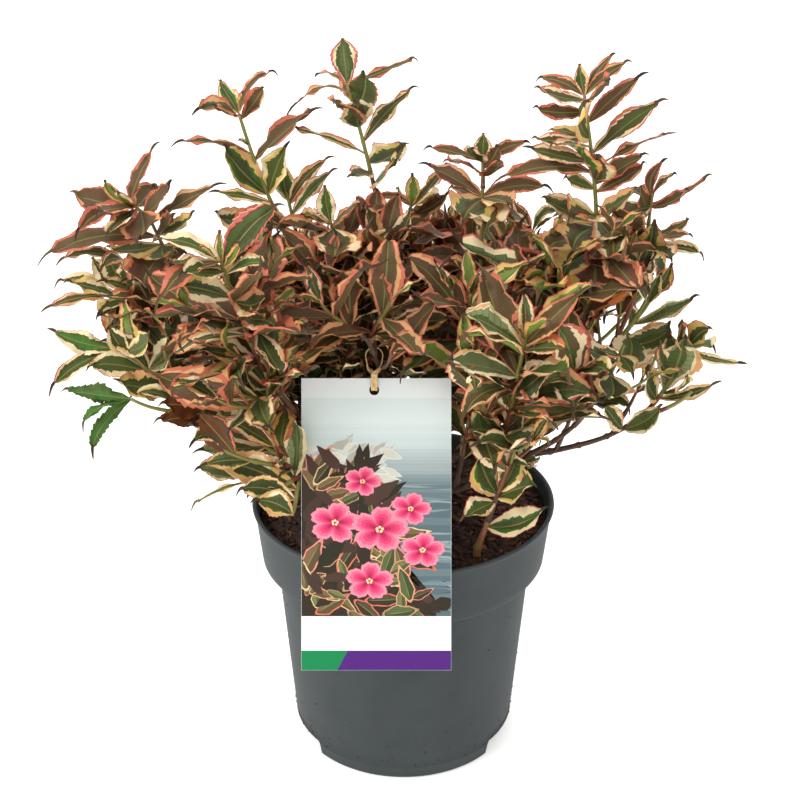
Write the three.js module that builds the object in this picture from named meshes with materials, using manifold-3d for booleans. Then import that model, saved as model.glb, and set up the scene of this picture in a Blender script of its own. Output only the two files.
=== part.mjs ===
// A potted dwarf weigela with variegated leaves: nursery pot, soil, hanging label with its strap,
// short trunk, boughs, and one leafy mass for each bough.
// Millimetres, +Z up, +X right, -Y front. The origin is the centre of the pot's flat underside.
import * as THREE from 'three';
import { mergeVertices } from 'three/addons/utils/BufferGeometryUtils.js';
import Module from 'manifold-3d';

const wasm = await Module();
wasm.setup();

// ---- driving dimensions ----

const GAP = 0.3;
const POT = {
  height: 167.5,
  rimRadius: 95,
  rimLip: 1.6,
  collarHeight: 40.5,
  collarFootRadius: 89.5,
  bodyTopRadius: 81.6,
  baseRadius: 71.6,
  wall: 1.8,
  floor: 2.4,
  round: 2.2,
  cutPast: 1,
  segments: 36,
};
const NOTCH = { width: 36, centres: [20, 160, 200, 340], depth: 9, height: 8, steps: 4 };
const SOIL = {
  edgeHeight: 156,
  middleHeight: 162,
  flatRadius: 22,
  shoulderRadius: 65,
  lowEdge: 11.5,
  innerStep: 16,
};
const CARD = {
  width: 87.3,
  height: 170,
  thickness: 0.6,
  lean: 25.6,
  middle: -16.2,
  aboveRim: 114.6,
  holeDrop: 7,
  holeRadius: 2.9,
};
const STRAP = {
  width: 3.8,
  thickness: 0.6,
  length: 19,
  topRadius: 5,
  holeEndRadius: 1.3,
  side: -17.4,
  aboveHole: 1,
  twistFrom: 7.6,
  segments: 36,
};
// The trunk's radii run from its root flare to its fork.
const TRUNK = { top: 202, radii: [14, 11, 9, 8.6, 8.1, 7.6], leanBack: 3, sides: 12 };
const BOUGH = { rootRadius: 2.7, tipRadius: 1.9, sides: 5, steps: 4, bend: 0.3 };
const STEM = {
  rootRadius: 1.5,
  tipRadius: 0.8,
  sides: 3,
  steps: 4,
  nodeSpacing: 27,
  fewestNodes: 3,
  bend: 0.36,
  lookUp: 0.45,
  sideStart: 0.07,
};
const TWIG = { length: 30, uneven: 0.25, radius: 0.9, angle: 50, pairs: 1, leafScale: 0.8 };
const LEAF = { widthShare: 0.5, widest: 0.42, thickness: 1, fold: 0.3, sunk: 0.2, stagger: 0.9, level: 0.4 };
// Leaves lengthen up a shoot and shorten again at its tip.
const LEAF_LENGTH = { foot: 0.82, growth: 0.42, shrink: 0.65, shrinkPower: 5, uneven: 0.1 };
const LEAF_ANGLE = { foot: 66, closing: 40, uneven: 9 };
const LEAF_DROOP = { foot: 44, closing: 26, uneven: 14, levelShare: 0.45, riseShare: 0.8, leastShare: 0.35 };
// Pairs crowd towards a shoot's tip, and each stands a quarter turn from the last, more or less.
const PAIRS = { firstPlace: 0.6, lastPlace: 0.4, crowding: 0.92, end: 0.985, shootTurn: 40, pairTurn: 12 };
// A leaf that doesn't fit is tried again shorter and closer to its shoot, then skipped.
const FITTINGS = [{ scale: 1, closer: 0 }, { scale: 0.86, closer: 9 }, { scale: 0.74, closer: 18 }];
// The space kept free of leaves.
const CLEAR = { mass: 1.2, limb: 2, rimBand: 8, rim: 2, ground: 1.5, card: 2, strapTop: 4, strapBack: 3 };
const SAMPLE_SPACING = { bough: 3, shoot: 4 };
// The first twig key comes after every limb's key, and each shoot's keys after the last shoot's.
const TWIG_KEYS = { first: 40, shoot: 20 };

// A fused mass stays closed when its corners are rounded to these grids.
const CORNER_GRIDS = [1e-3, 1e-4];
const MOST_MENDS = 40;
const MEND_SHIFT = 0.25;

// Where the boughs leave the trunk: rings of starting places up its side, then its top.
const ROOT_RINGS = [
  { height: 172, rise: 34, share: 0.34 },
  { height: 184, rise: 48, share: 0.34 },
  { height: 195, rise: 60, share: 0.17 },
  { height: TRUNK.top, rise: 90 },
];

// Each limb: the end of its bough, and the tips of the shoots that its mass is made of, as
// [right, back, up] from the origin. leaf is the length of its longest leaf.
const SHOWN_LIMBS = [
  { name: 'left', fork: [-88, -4, 252], tips: [[-148, -10, 358], [-174, 22, 300]], leaf: 68 },
  { name: 'left_low', fork: [-84, -26, 232], tips: [[-168, -25, 281], [-158, -55, 262]], leaf: 58 },
  { name: 'left_front', fork: [-58, -46, 244], tips: [[-99, -82, 358], [-104, -88, 278]], leaf: 66 },
  { name: 'left_foot', fork: [-48, -52, 214], tips: [[-106, -80, 244], [-84, -88, 216]], leaf: 54 },
  { name: 'upper_left', fork: [-46, 12, 276], tips: [[-95, 10, 413], [-72, 35, 364]], leaf: 60 },
  { name: 'top', fork: [-8, 22, 282], tips: [[-33, 30, 424], [-44, 0, 352]], leaf: 60 },
  { name: 'middle_back', fork: [10, 50, 250], tips: [[4, 60, 346], [33, 84, 324]], leaf: 58 },
  { name: 'rosette', fork: [38, 15, 268], tips: [[47, 20, 368], [80, 52, 326]], leaf: 60 },
  { name: 'right_tall', fork: [82, -4, 254], tips: [[102, 0, 426], [88, -38, 336]], leaf: 72 },
  { name: 'right_side', fork: [102, 4, 238], tips: [[147, 15, 364], [166, 40, 308]], leaf: 60 },
  { name: 'right_low', fork: [134, -24, 228], tips: [[172, -20, 288], [168, -45, 262]], leaf: 54 },
  { name: 'right_mid', fork: [100, -46, 240], tips: [[126, -50, 294], [95, -78, 288]], leaf: 56 },
  { name: 'front_right', fork: [46, -60, 214], tips: [[66, -92, 318], [36, -74, 296]], leaf: 62 },
  { name: 'front_middle', fork: [-18.6, -44, 290], tips: [[-46, -62, 324], [-8, -62, 326]], leaf: 58 },
  { name: 'middle_left', fork: [-22, 0, 256], tips: [[-12, 0, 332], [-44, -26, 330]], leaf: 58 },
  { name: 'middle_right', fork: [28, -16, 252], tips: [[38, -50, 326], [68, -25, 328]], leaf: 58 },
];
// A young shoot from the soil in front.
const SPROUT = { name: 'sprout', root: [44, -60], fork: [50, -64, 186], tips: [[66, -76, 252]], leaf: 50 };
// The back of the crown: a fan of limbs, from the right round to the left.
const BACK_FAN = {
  count: 8,
  firstHeading: 14,
  lastHeading: 170,
  forkReach: 66,
  forkHeight: 226,
  tipReach: 152,
  tipHeight: 282,
  tipSpread: 13,
  innerReach: 112,
  innerHeight: 312,
  unevenness: 10,
  leaf: 62,
};

const FINISHES = {
  pot: { color: 0x55585a, roughness: 0.55 },
  soil: { color: 0x3a2418, roughness: 0.95 },
  card: { color: 0xdfe8ea, roughness: 0.4 },
  strap: { color: 0xa9784a, roughness: 0.7 },
  bark: { color: 0x5b3b2c, roughness: 0.85 },
  youngStem: { color: 0x7d8a3c, roughness: 0.8 },
  leaf: { color: 0x4b5a35, roughness: 0.6 },
};

// ---- helpers ----

const UP = new THREE.Vector3(0, 0, 1);
const RIGHT = new THREE.Vector3(1, 0, 0);
const radians = THREE.MathUtils.degToRad;
const point = ([right, back, up]) => new THREE.Vector3(right, back, up);
const at = (origin, direction, distance) => origin.clone().addScaledVector(direction, distance);
const polar = (heading, reach, height) =>
  new THREE.Vector3(reach * Math.cos(radians(heading)), reach * Math.sin(radians(heading)), height);

// The seeded rule: the same keys always give the same number between -1 and 1.
const HASH_STEPS = [12.9898, 78.233, 37.719, 9.151];
const HASH_SCALE = 43758.5453;
function jitter(...keys) {
  const mixed = keys.reduce((sum, key, index) => sum + (key + 1) * HASH_STEPS[index], 0);
  const wave = Math.sin(mixed) * HASH_SCALE;
  return 2 * (wave - Math.floor(wave)) - 1;
}

function closedGeometry(vertices, triangles) {
  const geometry = new THREE.BufferGeometry();
  const places = vertices.flatMap((vertex) => vertex.toArray());
  geometry.setAttribute('position', new THREE.Float32BufferAttribute(places, 3));
  geometry.setIndex(triangles.flat());
  return geometry;
}

function toManifold(geometry) {
  const bare = geometry.clone();
  bare.deleteAttribute('normal');
  bare.deleteAttribute('uv');
  const merged = mergeVertices(bare, CORNER_GRIDS.at(-1));
  return new wasm.Manifold(new wasm.Mesh({
    numProp: 3,
    vertProperties: new Float32Array(merged.attributes.position.array),
    triVerts: new Uint32Array(merged.index.array),
  }));
}

function toGeometry(solid) {
  const { vertProperties, triVerts } = solid.getMesh();
  const geometry = new THREE.BufferGeometry();
  geometry.setAttribute('position', new THREE.Float32BufferAttribute(vertProperties, 3));
  geometry.setIndex([...triVerts]);
  return geometry;
}

// A tapering limb along a curve, with a flat cut at both ends.
function limbGeometry(curve, radii, sides) {
  const steps = radii.length - 1;
  const frames = curve.computeFrenetFrames(steps, false);
  const vertices = [];
  const triangles = [];
  for (let step = 0; step <= steps; step += 1) {
    const centre = curve.getPoint(step / steps);
    for (let side = 0; side < sides; side += 1) {
      const angle = (2 * Math.PI * side) / sides;
      const rim = at(centre, frames.normals[step], radii[step] * Math.cos(angle));
      vertices.push(rim.addScaledVector(frames.binormals[step], radii[step] * Math.sin(angle)));
    }
  }
  for (let side = 0; side < sides; side += 1) {
    const next = (side + 1) % sides;
    for (let step = 0; step < steps; step += 1) {
      const low = step * sides;
      const high = low + sides;
      triangles.push([low + side, low + next, high + side], [low + next, high + next, high + side]);
    }
    if (side > 0 && side < sides - 1) {
      const last = steps * sides;
      triangles.push([0, next, side], [last, last + side, last + next]);
    }
  }
  return closedGeometry(vertices, triangles);
}

const taper = (root, tip, steps) =>
  Array.from({ length: steps + 1 }, (_, step) => THREE.MathUtils.lerp(root, tip, step / steps));

// ---- pot and soil ----

// The wall's outer or, with an inset, inner outline from the floor up, as [radius, height].
function wallOutline(inset) {
  const collarFoot = POT.height - POT.collarHeight;
  return [
    [POT.baseRadius - inset, inset ? POT.floor : POT.round],
    [POT.bodyTopRadius - inset, collarFoot + inset / 2 - POT.round],
    [POT.bodyTopRadius - inset + POT.round / 2, collarFoot + inset / 2],
    [POT.collarFootRadius - inset - POT.round, collarFoot + inset],
    [POT.collarFootRadius - inset, collarFoot + inset + POT.round],
    [POT.rimRadius - POT.rimLip - inset / 2, POT.height - 2 * POT.rimLip],
  ];
}

const lathe = (outline) =>
  toManifold(new THREE.LatheGeometry(outline.map(([r, z]) => new THREE.Vector2(r, z)), POT.segments)
    .rotateX(Math.PI / 2));

// Wedges that leave the pot's feet between them, grown by a margin.
function notchWedges(margin) {
  const inner = POT.baseRadius - NOTCH.depth - margin;
  const outer = POT.baseRadius + NOTCH.depth;
  const half = radians(NOTCH.width / 2) + margin / POT.baseRadius;
  return NOTCH.centres.map((degrees) => {
    const middle = radians(degrees);
    const shape = new THREE.Shape();
    shape.absarc(0, 0, outer, middle - half, middle + half, false);
    shape.absarc(0, 0, inner, middle + half, middle - half, true);
    const wedge = new THREE.ExtrudeGeometry(shape, {
      depth: NOTCH.height + margin + GAP, bevelEnabled: false, curveSegments: NOTCH.steps,
    });
    return toManifold(wedge.translate(0, 0, -GAP));
  });
}

function potSolid() {
  const rim = [
    [POT.rimRadius - GAP, POT.height - 2 * POT.rimLip],
    [POT.rimRadius, POT.height - POT.rimLip],
    [POT.rimRadius - GAP, POT.height],
  ];
  const outside = lathe([
    [0, 0], [POT.baseRadius - POT.round, 0], ...wallOutline(0), ...rim, [0, POT.height],
  ]);
  const hollow = lathe([
    [0, POT.floor], ...wallOutline(POT.wall), [POT.rimRadius - POT.wall, POT.height + POT.cutPast],
    [0, POT.height + POT.cutPast],
  ]);
  const cavity = wasm.Manifold.difference([hollow, ...notchWedges(POT.wall)]);
  return wasm.Manifold.difference([outside, cavity, ...notchWedges(0)]);
}

function soilTop(radius) {
  const inner = POT.rimRadius - 2 * POT.wall;
  const share = THREE.MathUtils.clamp((radius - SOIL.flatRadius) / (inner - SOIL.flatRadius), 0, 1);
  return THREE.MathUtils.lerp(SOIL.middleHeight, SOIL.edgeHeight, share * share);
}

function soilGeometry() {
  const inset = POT.wall + GAP;
  const collarFoot = POT.height - POT.collarHeight;
  const stepRadius = POT.baseRadius - SOIL.innerStep;
  const wallTop = POT.collarFootRadius - inset
    + ((POT.rimRadius - POT.collarFootRadius) * (SOIL.edgeHeight - collarFoot)) / POT.collarHeight;
  const topRadii = [wallTop - 2 * GAP, SOIL.shoulderRadius, SOIL.flatRadius];
  const outline = [
    [0, POT.floor + GAP],
    [stepRadius, POT.floor + GAP],
    [stepRadius, SOIL.lowEdge],
    [POT.baseRadius - inset, SOIL.lowEdge],
    [POT.bodyTopRadius - inset, collarFoot - POT.round],
    [POT.bodyTopRadius - inset, collarFoot + inset + POT.round],
    [POT.collarFootRadius - inset - POT.round - GAP, collarFoot + inset + POT.round],
    ...topRadii.map((radius) => [radius, soilTop(radius)]),
    [0, SOIL.middleHeight],
  ];
  return toGeometry(lathe(outline));
}

// ---- label ----

// The card leans on the pot's rim. Its own frame: right, then up along the card, then forwards.
const CARD_UP = new THREE.Vector3(0, Math.sin(radians(CARD.lean)), Math.cos(radians(CARD.lean)));
const CARD_FRONT = new THREE.Vector3(0, -CARD_UP.z, CARD_UP.y);
const RIM_FRONT = new THREE.Vector3(CARD.middle, GAP - POT.rimRadius, POT.height);
const CARD_TOP = at(at(RIM_FRONT, CARD_FRONT, GAP), CARD_UP, CARD.aboveRim);
const HOLE = at(CARD_TOP, CARD_UP, -CARD.holeDrop);

function cardGeometry() {
  const half = CARD.width / 2;
  const shape = new THREE.Shape([
    new THREE.Vector2(-half, -CARD.height), new THREE.Vector2(half, -CARD.height),
    new THREE.Vector2(half, 0), new THREE.Vector2(-half, 0),
  ]);
  const hole = new THREE.Path();
  hole.absarc(STRAP.side - CARD.middle, -CARD.holeDrop, CARD.holeRadius, 0, 2 * Math.PI, false);
  shape.holes.push(hole);
  const card = new THREE.ExtrudeGeometry(shape, {
    depth: CARD.thickness, bevelEnabled: false, curveSegments: 8,
  });
  return card.applyMatrix4(new THREE.Matrix4()
    .makeBasis(RIGHT, CARD_UP, CARD_FRONT).setPosition(CARD_TOP));
}

// A loop that is wide round the bough at its top and narrow where it runs through the hole.
function loopPath() {
  const slant = Math.asin((STRAP.topRadius - STRAP.holeEndRadius) / STRAP.length);
  const path = new THREE.Path();
  path.absarc(0, STRAP.length, STRAP.topRadius, -slant, Math.PI + slant, false);
  path.absarc(0, 0, STRAP.holeEndRadius, Math.PI + slant, 2 * Math.PI - slant, false);
  path.closePath();
  return path;
}

// A flat band along the loop, which makes a quarter turn between the card and the bough.
function strapGeometry() {
  const path = loopPath();
  const foot = at(at(HOLE, CARD_FRONT, CARD.thickness / 2), CARD_UP, STRAP.aboveHole).setX(STRAP.side);
  const turnEnd = STRAP.length - STRAP.topRadius;
  const vertices = [];
  const triangles = [];
  for (let step = 0; step < STRAP.segments; step += 1) {
    const { x: spread, y: height } = path.getPointAt(step / STRAP.segments);
    const along = path.getTangentAt(step / STRAP.segments);
    const turn = (Math.PI / 2) * THREE.MathUtils.smoothstep(height, STRAP.twistFrom, turnEnd);
    const outward = CARD_FRONT.clone().multiplyScalar(Math.cos(turn)).addScaledVector(RIGHT, Math.sin(turn));
    const across = RIGHT.clone().multiplyScalar(Math.cos(turn)).addScaledVector(CARD_FRONT, -Math.sin(turn));
    const normal = outward.clone().multiplyScalar(along.y).addScaledVector(CARD_UP, -along.x);
    const centre = at(at(foot, CARD_UP, height), outward, spread);
    for (const [side, layer] of [[1, 1], [-1, 1], [-1, -1], [1, -1]]) {
      vertices.push(at(at(centre, across, side * STRAP.width / 2), normal, layer * STRAP.thickness / 2));
    }
    const here = 4 * step;
    const next = 4 * ((step + 1) % STRAP.segments);
    for (let corner = 0; corner < 4; corner += 1) {
      const other = (corner + 1) % 4;
      triangles.push([here + corner, next + corner, here + other]);
      triangles.push([here + other, next + corner, next + other]);
    }
  }
  return closedGeometry(vertices, triangles);
}

// ---- trunk and boughs ----

const trunkFoot = SOIL.middleHeight + GAP;

function trunkGeometry() {
  const curve = new THREE.LineCurve3(new THREE.Vector3(0, 0, trunkFoot), new THREE.Vector3(0, 0, TRUNK.top));
  const trunk = limbGeometry(curve, TRUNK.radii, TRUNK.sides);
  const places = trunk.attributes.position;
  for (let index = 0; index < places.count; index += 1) {
    const rise = (places.getZ(index) - trunkFoot) / (TRUNK.top - trunkFoot);
    places.setY(index, places.getY(index) + TRUNK.leanBack * rise);
  }
  return trunk;
}

function trunkRadiusAt(height) {
  const step = ((height - trunkFoot) / (TRUNK.top - trunkFoot)) * (TRUNK.radii.length - 1);
  const below = Math.floor(step);
  return THREE.MathUtils.lerp(TRUNK.radii[below], TRUNK.radii[below + 1], step - below);
}

function backLimbs() {
  const step = (BACK_FAN.lastHeading - BACK_FAN.firstHeading) / (BACK_FAN.count - 1);
  return Array.from({ length: BACK_FAN.count }, (_, index) => {
    const heading = BACK_FAN.firstHeading + step * index;
    const uneven = BACK_FAN.unevenness * jitter(index, 5);
    const fork = polar(heading, BACK_FAN.forkReach + uneven, BACK_FAN.forkHeight - uneven);
    const tips = [-1, 1].map((side) => polar(
      heading + side * BACK_FAN.tipSpread / 2,
      side > 0 ? BACK_FAN.tipReach + uneven : BACK_FAN.innerReach - uneven,
      (side > 0 ? BACK_FAN.tipHeight : BACK_FAN.innerHeight) + BACK_FAN.unevenness * jitter(index, side + 7),
    ).toArray());
    return { name: `back_${index + 1}`, fork: fork.toArray(), tips, leaf: BACK_FAN.leaf };
  });
}

// Deals the limbs out to the rings by how steeply they rise, each ring spread evenly by heading.
function placeRoots(limbs) {
  const headingOf = (limb) => THREE.MathUtils.radToDeg(Math.atan2(limb.fork[1], limb.fork[0]));
  const steepness = (limb) => (limb.fork[2] - TRUNK.top) / Math.hypot(limb.fork[0], limb.fork[1]);
  const waiting = [...limbs].sort((a, b) => steepness(a) - steepness(b));
  for (const { height, rise, share } of ROOT_RINGS) {
    const onTop = height >= TRUNK.top;
    const members = waiting.splice(0, onTop ? waiting.length : Math.round(share * limbs.length));
    members.sort((a, b) => headingOf(a) - headingOf(b));
    const step = 360 / members.length;
    const offsets = members.map((limb, index) => headingOf(limb) - step * index);
    const first = offsets.reduce((sum, offset) => sum + offset, 0) / members.length;
    const lift = radians(rise);
    const upperEdge = height + BOUGH.rootRadius * Math.cos(lift);
    const reach = onTop
      ? TRUNK.radii.at(-1) - BOUGH.rootRadius
      : trunkRadiusAt(upperEdge) + GAP + BOUGH.rootRadius * Math.sin(lift);
    const lean = (TRUNK.leanBack * (height - trunkFoot)) / (TRUNK.top - trunkFoot);
    members.forEach((limb, index) => {
      limb.root = polar(first + step * index, reach, onTop ? height + GAP : height);
      limb.root.y += lean;
      limb.rootDirection = polar(first + step * index, Math.cos(lift), Math.sin(lift));
    });
  }
}

function boughCurve(limb) {
  const fork = point(limb.fork);
  const reach = fork.distanceTo(limb.root);
  const middle = limb.tips.reduce((sum, tip) => sum.add(point(tip)), new THREE.Vector3());
  const onward = middle.divideScalar(limb.tips.length).sub(fork).normalize();
  limb.forkDirection = fork.clone().sub(limb.root).normalize().add(onward).normalize();
  return new THREE.CubicBezierCurve3(
    limb.root,
    at(limb.root, limb.rootDirection, reach * BOUGH.bend),
    at(fork, limb.forkDirection, -reach * BOUGH.bend),
    fork,
  );
}

// ---- leafy masses ----

// A shoot bends from its starting direction to one that looks up a little more than its tip does.
function shootCurve(start, direction, tip) {
  const reach = tip.distanceTo(start);
  const tipDirection = tip.clone().sub(start).normalize().addScaledVector(UP, STEM.lookUp).normalize();
  return new THREE.CubicBezierCurve3(
    start, at(start, direction, reach * STEM.bend), at(tip, tipDirection, -reach * STEM.bend), tip,
  );
}

function shootsOf(limb) {
  const [mainTip, ...sideTips] = limb.tips.map(point);
  const main = shootCurve(at(point(limb.fork), limb.forkDirection, GAP), limb.forkDirection, mainTip);
  const sides = sideTips.map((tip) => {
    const start = main.getPoint(STEM.sideStart);
    const onward = tip.clone().sub(start).normalize();
    return shootCurve(start, onward.add(limb.forkDirection).normalize(), tip);
  });
  return [main, ...sides];
}

// A leaf is an arc from its root that droops towards its tip, folded along the midrib.
function leafPoint(leaf, along, across, lift = 0) {
  const turn = leaf.droop * along;
  const place = at(leaf.root, leaf.direction, (leaf.length * Math.sin(turn)) / leaf.droop);
  place.addScaledVector(leaf.upper, (-leaf.length * (1 - Math.cos(turn))) / leaf.droop);
  const normal = leaf.upper.clone().multiplyScalar(Math.cos(turn));
  normal.addScaledVector(leaf.direction, Math.sin(turn));
  const share = along < LEAF.widest ? along / LEAF.widest : (1 - along) / (1 - LEAF.widest);
  const offset = across * share * leaf.length * LEAF.widthShare / 2;
  place.addScaledVector(leaf.side, offset);
  return place.addScaledVector(normal, Math.abs(offset) * LEAF.fold + lift);
}

function makeLeaf(root, tangent, outward, length, angle, droop) {
  const direction = tangent.clone().multiplyScalar(Math.cos(angle)).addScaledVector(outward, Math.sin(angle));
  if (direction.z < 0) direction.setZ(direction.z * LEAF.level).normalize();
  const upper = tangent.clone().add(UP);
  upper.addScaledVector(direction, -upper.dot(direction)).normalize();
  const { levelShare, riseShare, leastShare } = LEAF_DROOP;
  const slack = THREE.MathUtils.clamp(levelShare + riseShare * direction.z, leastShare, 1);
  return { root, direction, upper, side: direction.clone().cross(upper), length, droop: droop * slack };
}

// Eight faces: a flat double pyramid whose root is sunk in the stem.
function leafSolid(leaf) {
  const vertices = [
    at(leaf.root, leaf.direction, -LEAF.sunk),
    leafPoint(leaf, LEAF.widest, -1),
    leafPoint(leaf, 1, 0),
    leafPoint(leaf, LEAF.widest, 1),
    leafPoint(leaf, LEAF.widest, 0, LEAF.thickness / 2),
    leafPoint(leaf, LEAF.widest, 0, -LEAF.thickness / 2),
  ];
  const triangles = [];
  for (let corner = 0; corner < 4; corner += 1) {
    const next = (corner + 1) % 4;
    triangles.push([corner, 4, next], [next, 5, corner]);
  }
  return toManifold(closedGeometry(vertices, triangles));
}

const LEAF_PROBES = [0.15, 0.25, 0.35, 0.45, 0.55, 0.65, 0.75, 0.85, 0.95, 1]
  .flatMap((along) => [-1, -0.5, 0, 0.5, 1].map((across) => [along, across]));

// Space held by the pot, its rim, the soil, and the label with its strap and the view onto them.
function isTaken(place) {
  const radius = Math.hypot(place.x, place.y);
  const inside = radius <= POT.rimRadius - CLEAR.rimBand;
  const over = radius < POT.rimRadius + CLEAR.rim;
  const nearRim = !inside && over && place.z < POT.height + CLEAR.ground;
  const underSoil = inside && place.z < soilTop(radius) + CLEAR.ground;
  const inPot = over && place.z < SOIL.edgeHeight;
  const fromCard = place.clone().sub(CARD_TOP);
  const byCard = Math.abs(fromCard.x) < CARD.width / 2 + CLEAR.card
    && fromCard.dot(CARD_UP) < CLEAR.card
    && fromCard.dot(CARD_FRONT) > -CLEAR.card;
  const fromHole = place.clone().sub(HOLE);
  const byStrap = Math.abs(place.x - STRAP.side) < STRAP.topRadius + CLEAR.card
    && fromHole.dot(CARD_UP) < STRAP.length + STRAP.topRadius + CLEAR.strapTop
    && fromHole.dot(CARD_FRONT) > -STRAP.topRadius - CLEAR.strapBack;
  return nearRim || underSoil || inPot || byCard || byStrap;
}

const sampled = (curve, spacing) => curve.getSpacedPoints(Math.ceil(curve.getLength() / spacing));
const nearest = (place, places) => Math.min(...places.map((other) => other.distanceTo(place)));

// A leaf keeps to its mass's space: nearer to its own shoots than to any other mass's.
function staysClear(leaf, limb, limbs) {
  return LEAF_PROBES.every(([along, across]) => {
    const place = leafPoint(leaf, along, across);
    if (isTaken(place)) return false;
    const clearance = BOUGH.rootRadius + CLEAR.limb;
    if (limbs.some((other) => nearest(place, other.boughPlaces) < clearance)) return false;
    const own = nearest(place, limb.shootPlaces) + CLEAR.mass;
    return limbs.every((other) => other === limb || nearest(place, other.shootPlaces) > own);
  });
}

function lengthShare(along) {
  const { foot, growth, shrink, shrinkPower } = LEAF_LENGTH;
  return (foot + growth * along) * (1 - shrink * along ** shrinkPower);
}

function growLeaf(root, tangent, outward, along, fullLength, keys, fits) {
  const length = fullLength * lengthShare(along) * (1 + LEAF_LENGTH.uneven * jitter(...keys, 1));
  const angle = LEAF_ANGLE.foot - LEAF_ANGLE.closing * along ** 2 + LEAF_ANGLE.uneven * jitter(...keys, 2);
  const droop = LEAF_DROOP.foot - LEAF_DROOP.closing * along + LEAF_DROOP.uneven * jitter(...keys, 3);
  for (const { scale, closer } of FITTINGS) {
    const leaf = makeLeaf(root, tangent, outward, length * scale, radians(angle - closer), radians(droop));
    if (fits(leaf)) return leaf;
  }
  return null;
}

// Opposite leaves in pairs, each pair turned a quarter from the last.
function growPairs(curve, count, fullLength, keys, fits) {
  const leaves = [];
  const tip = curve.getPoint(1);
  const across = new THREE.Vector3(-tip.y, tip.x, 0).normalize();
  for (let node = 0; node < count; node += 1) {
    const along = ((node + PAIRS.firstPlace) / (count - PAIRS.lastPlace)) ** PAIRS.crowding;
    const place = Math.min(along, PAIRS.end);
    const tangent = curve.getTangentAt(place);
    const first = across.clone().addScaledVector(tangent, -across.dot(tangent)).normalize();
    const second = tangent.clone().cross(first);
    const uneven = PAIRS.shootTurn * jitter(...keys) + PAIRS.pairTurn * jitter(...keys, node);
    const quarter = (Math.PI / 2) * node + radians(uneven);
    for (const side of [0, Math.PI]) {
      const outward = first.clone().multiplyScalar(Math.cos(quarter + side))
        .addScaledVector(second, Math.sin(quarter + side));
      outward.z *= THREE.MathUtils.lerp(LEAF.level, 1, Math.abs(tangent.z));
      outward.normalize();
      const root = at(curve.getPointAt(place), tangent, side ? -LEAF.stagger : 0);
      const leafKeys = [keys[0] * 10 + keys[1], node, side];
      const leaf = growLeaf(root, tangent, outward, along, fullLength, leafKeys, fits);
      leaves.push({ node, root, tangent, outward, leaf });
    }
  }
  return leaves;
}

function growTwig(bud, limb, keys, fits) {
  const angle = radians(TWIG.angle);
  const direction = bud.tangent.clone().multiplyScalar(Math.cos(angle))
    .addScaledVector(bud.outward, Math.sin(angle));
  const reach = TWIG.length * (1 + TWIG.uneven * jitter(...keys, 4));
  const curve = shootCurve(bud.root, direction, at(bud.root, direction, reach));
  const leaves = growPairs(curve, TWIG.pairs, limb.leaf * TWIG.leafScale, keys, fits)
    .map((place) => place.leaf).filter(Boolean);
  return leaves.length > 1 ? { curve, leaves } : null;
}

// Whether each edge still joins just two faces once the corners are rounded to a grid.
function staysClosed(body, grid) {
  const { vertProperties, triVerts } = body.getMesh();
  const rounded = Array.from(vertProperties, (value) => Math.round(value / grid));
  const keys = Array.from(triVerts, (vertex) => rounded.slice(3 * vertex, 3 * vertex + 3).join());
  const uses = new Map();
  for (let first = 0; first < keys.length; first += 3) {
    const face = keys.slice(first, first + 3);
    if (new Set(face).size < 3) continue;
    face.forEach((key, index) => {
      const edge = [key, face[(index + 1) % 3]].sort().join(' ');
      uses.set(edge, (uses.get(edge) ?? 0) + 1);
    });
  }
  return [...uses.values()].every((count) => count === 2);
}

// Fuses stems and leaves into one body. Hollows are filled and loose scraps dropped, because only
// the largest body is kept. Where rounding would tear it, the leaves are shifted a little.
function fuse(stems, leaves) {
  for (let mend = 0; mend < MOST_MENDS; mend += 1) {
    const bodies = wasm.Manifold.union([...stems.map(toManifold), ...leaves.map(leafSolid)]).decompose();
    const body = bodies.sort((a, b) => b.volume() - a.volume())[0].simplify(CORNER_GRIDS[0]);
    if (CORNER_GRIDS.every((grid) => staysClosed(body, grid))) return body;
    leaves.forEach((leaf, index) => leaf.root.addScaledVector(UP, MEND_SHIFT * jitter(index, mend)));
  }
  throw new Error('a mass did not fuse cleanly');
}

function massSolid(limb, limbIndex, limbs) {
  const fits = (leaf) => staysClear(leaf, limb, limbs);
  const stems = [];
  const leaves = [];
  limb.shoots.forEach((curve, shootIndex) => {
    stems.push(limbGeometry(curve, taper(STEM.rootRadius, STEM.tipRadius, STEM.steps), STEM.sides));
    const nodes = Math.round(curve.getLength() / STEM.nodeSpacing) + 1;
    const count = Math.max(STEM.fewestNodes, nodes);
    for (const place of growPairs(curve, count, limb.leaf, [limbIndex, shootIndex], fits)) {
      if (place.leaf) leaves.push(place.leaf);
      const keys = [limbIndex + TWIG_KEYS.first, shootIndex * TWIG_KEYS.shoot + place.node];
      const hasTwig = place.node === 1 && count > STEM.fewestNodes;
      const twig = hasTwig && growTwig(place, limb, keys, fits);
      if (twig) {
        stems.push(limbGeometry(twig.curve, taper(TWIG.radius, TWIG.radius / 2, 2), STEM.sides));
        leaves.push(...twig.leaves);
      }
    }
  });
  return fuse(stems, leaves);
}

// ---- the plant ----

function addMesh(group, name, geometry, finish) {
  const mesh = new THREE.Mesh(geometry, new THREE.MeshStandardMaterial({ ...finish, metalness: 0 }));
  mesh.name = name;
  group.add(mesh);
}

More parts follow.
